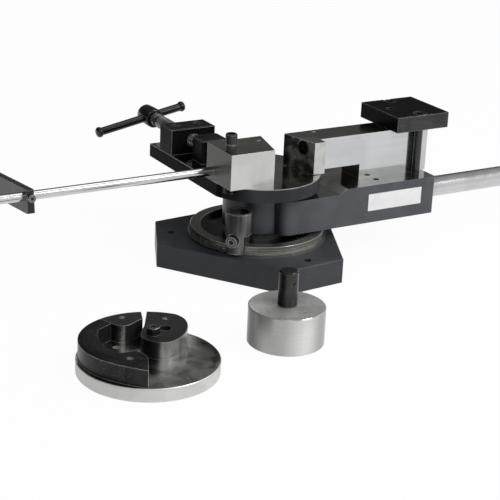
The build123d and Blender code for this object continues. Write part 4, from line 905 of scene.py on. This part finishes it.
# glow: how much of the floor's white the camera and the reflections see
floorSet = dict(size=16.0, colour=(0.86, 0.86, 0.86), glow=0.96)


def makeFloorFinish(look):
    material, tree = newMaterial("floorWhite")
    tree.nodes.clear()
    paint = addNode(tree, "ShaderNodeBsdfDiffuse", {"Color": (*look["colour"], 1.0)})
    white = addNode(tree, "ShaderNodeEmission", {"Color": (1, 1, 1, 1), "Strength": 1.0})
    rays = addNode(tree, "ShaderNodeLightPath")
    seen = doMath(tree, "MAXIMUM", rays.outputs["Is Camera Ray"], rays.outputs["Is Glossy Ray"])
    seen = doMath(tree, "MAXIMUM", seen, rays.outputs["Is Transmission Ray"])
    share = doMath(tree, "MULTIPLY", seen, look["glow"])
    mixed = addNode(tree, "ShaderNodeMixShader", {0: share, 1: paint.outputs[0], 2: white.outputs[0]})
    out = addNode(tree, "ShaderNodeOutputMaterial", {"Surface": mixed.outputs[0]})
    out.is_active_output = True
    return material


def makeFloor(look):
    shape = bmesh.new()
    bmesh.ops.create_grid(shape, x_segments=2, y_segments=2, size=look["size"] / 2)
    mesh = meshFrom("floor", shape)
    mesh.materials.append(makeFloorFinish(look))
    addObject("floor", mesh)


makeFloor(floorSet)

# a lit room on one side and a dim one behind, as in a studio, with its own level overhead
worldSet = dict(
    brightSide=(0.55, -0.83, 0.10), bright=0.90, dim=0.09, sideFrom=-0.35, sideTo=0.75,
    over=0.34, overFrom=0.45, overTo=0.95,
)


def makeWorld(look):
    world = bpy.data.worlds.new("studio")
    bpy.context.scene.world = world
    world.use_nodes = True
    tree = world.node_tree
    tree.nodes.clear()
    way = addNode(tree, "ShaderNodeTexCoord").outputs["Generated"]
    side = doVector(tree, "DOT_PRODUCT", way, look["brightSide"]).outputs["Value"]
    height = addNode(tree, "ShaderNodeSeparateXYZ", {0: way}).outputs["Z"]
    level = spread(tree, side, look["sideFrom"], look["sideTo"], look["dim"], look["bright"], smooth=True)
    upper = spread(tree, height, look["overFrom"], look["overTo"], smooth=True)
    level = spread(tree, upper, 0.0, 1.0, level, look["over"])
    grey = addNode(tree, "ShaderNodeCombineColor", {0: level, 1: level, 2: level})
    light = addNode(tree, "ShaderNodeBackground", {"Color": grey.outputs[0], "Strength": 1.0})
    addNode(tree, "ShaderNodeOutputWorld", {"Surface": light.outputs[0]})


makeWorld(worldSet)

lamps = {
    "keyBox": dict(place=(1.10, -1.50, 1.75), target=(0.0, -0.05, 0.06), size=(0.9, 0.7), power=19.0),
    "frontFill": dict(place=(-0.95, -2.0, 1.75), target=(-0.05, 0.1, 0.08), size=(1.1, 0.6), power=9.5),
    "topBox": dict(place=(0.5, 0.1, 2.2), target=(0.0, -0.05, 0.0), size=(1.2, 1.2), power=8.0),
}


def makeLamp(name, look):
    data = bpy.data.lights.new(name, "AREA")
    data.shape = "RECTANGLE"
    data.size, data.size_y = look["size"]
    data.energy = look["power"]
    lamp = addObject(name, data)
    lamp.location = look["place"]
    aim = Vector(look["target"]) - Vector(look["place"])
    lamp.rotation_euler = aim.to_track_quat("-Z", "Y").to_euler()


for lampName, lampLook in lamps.items():
    makeLamp(lampName, lampLook)
print("floor and light made")

bpy.context.scene.view_settings.view_transform = "Standard"
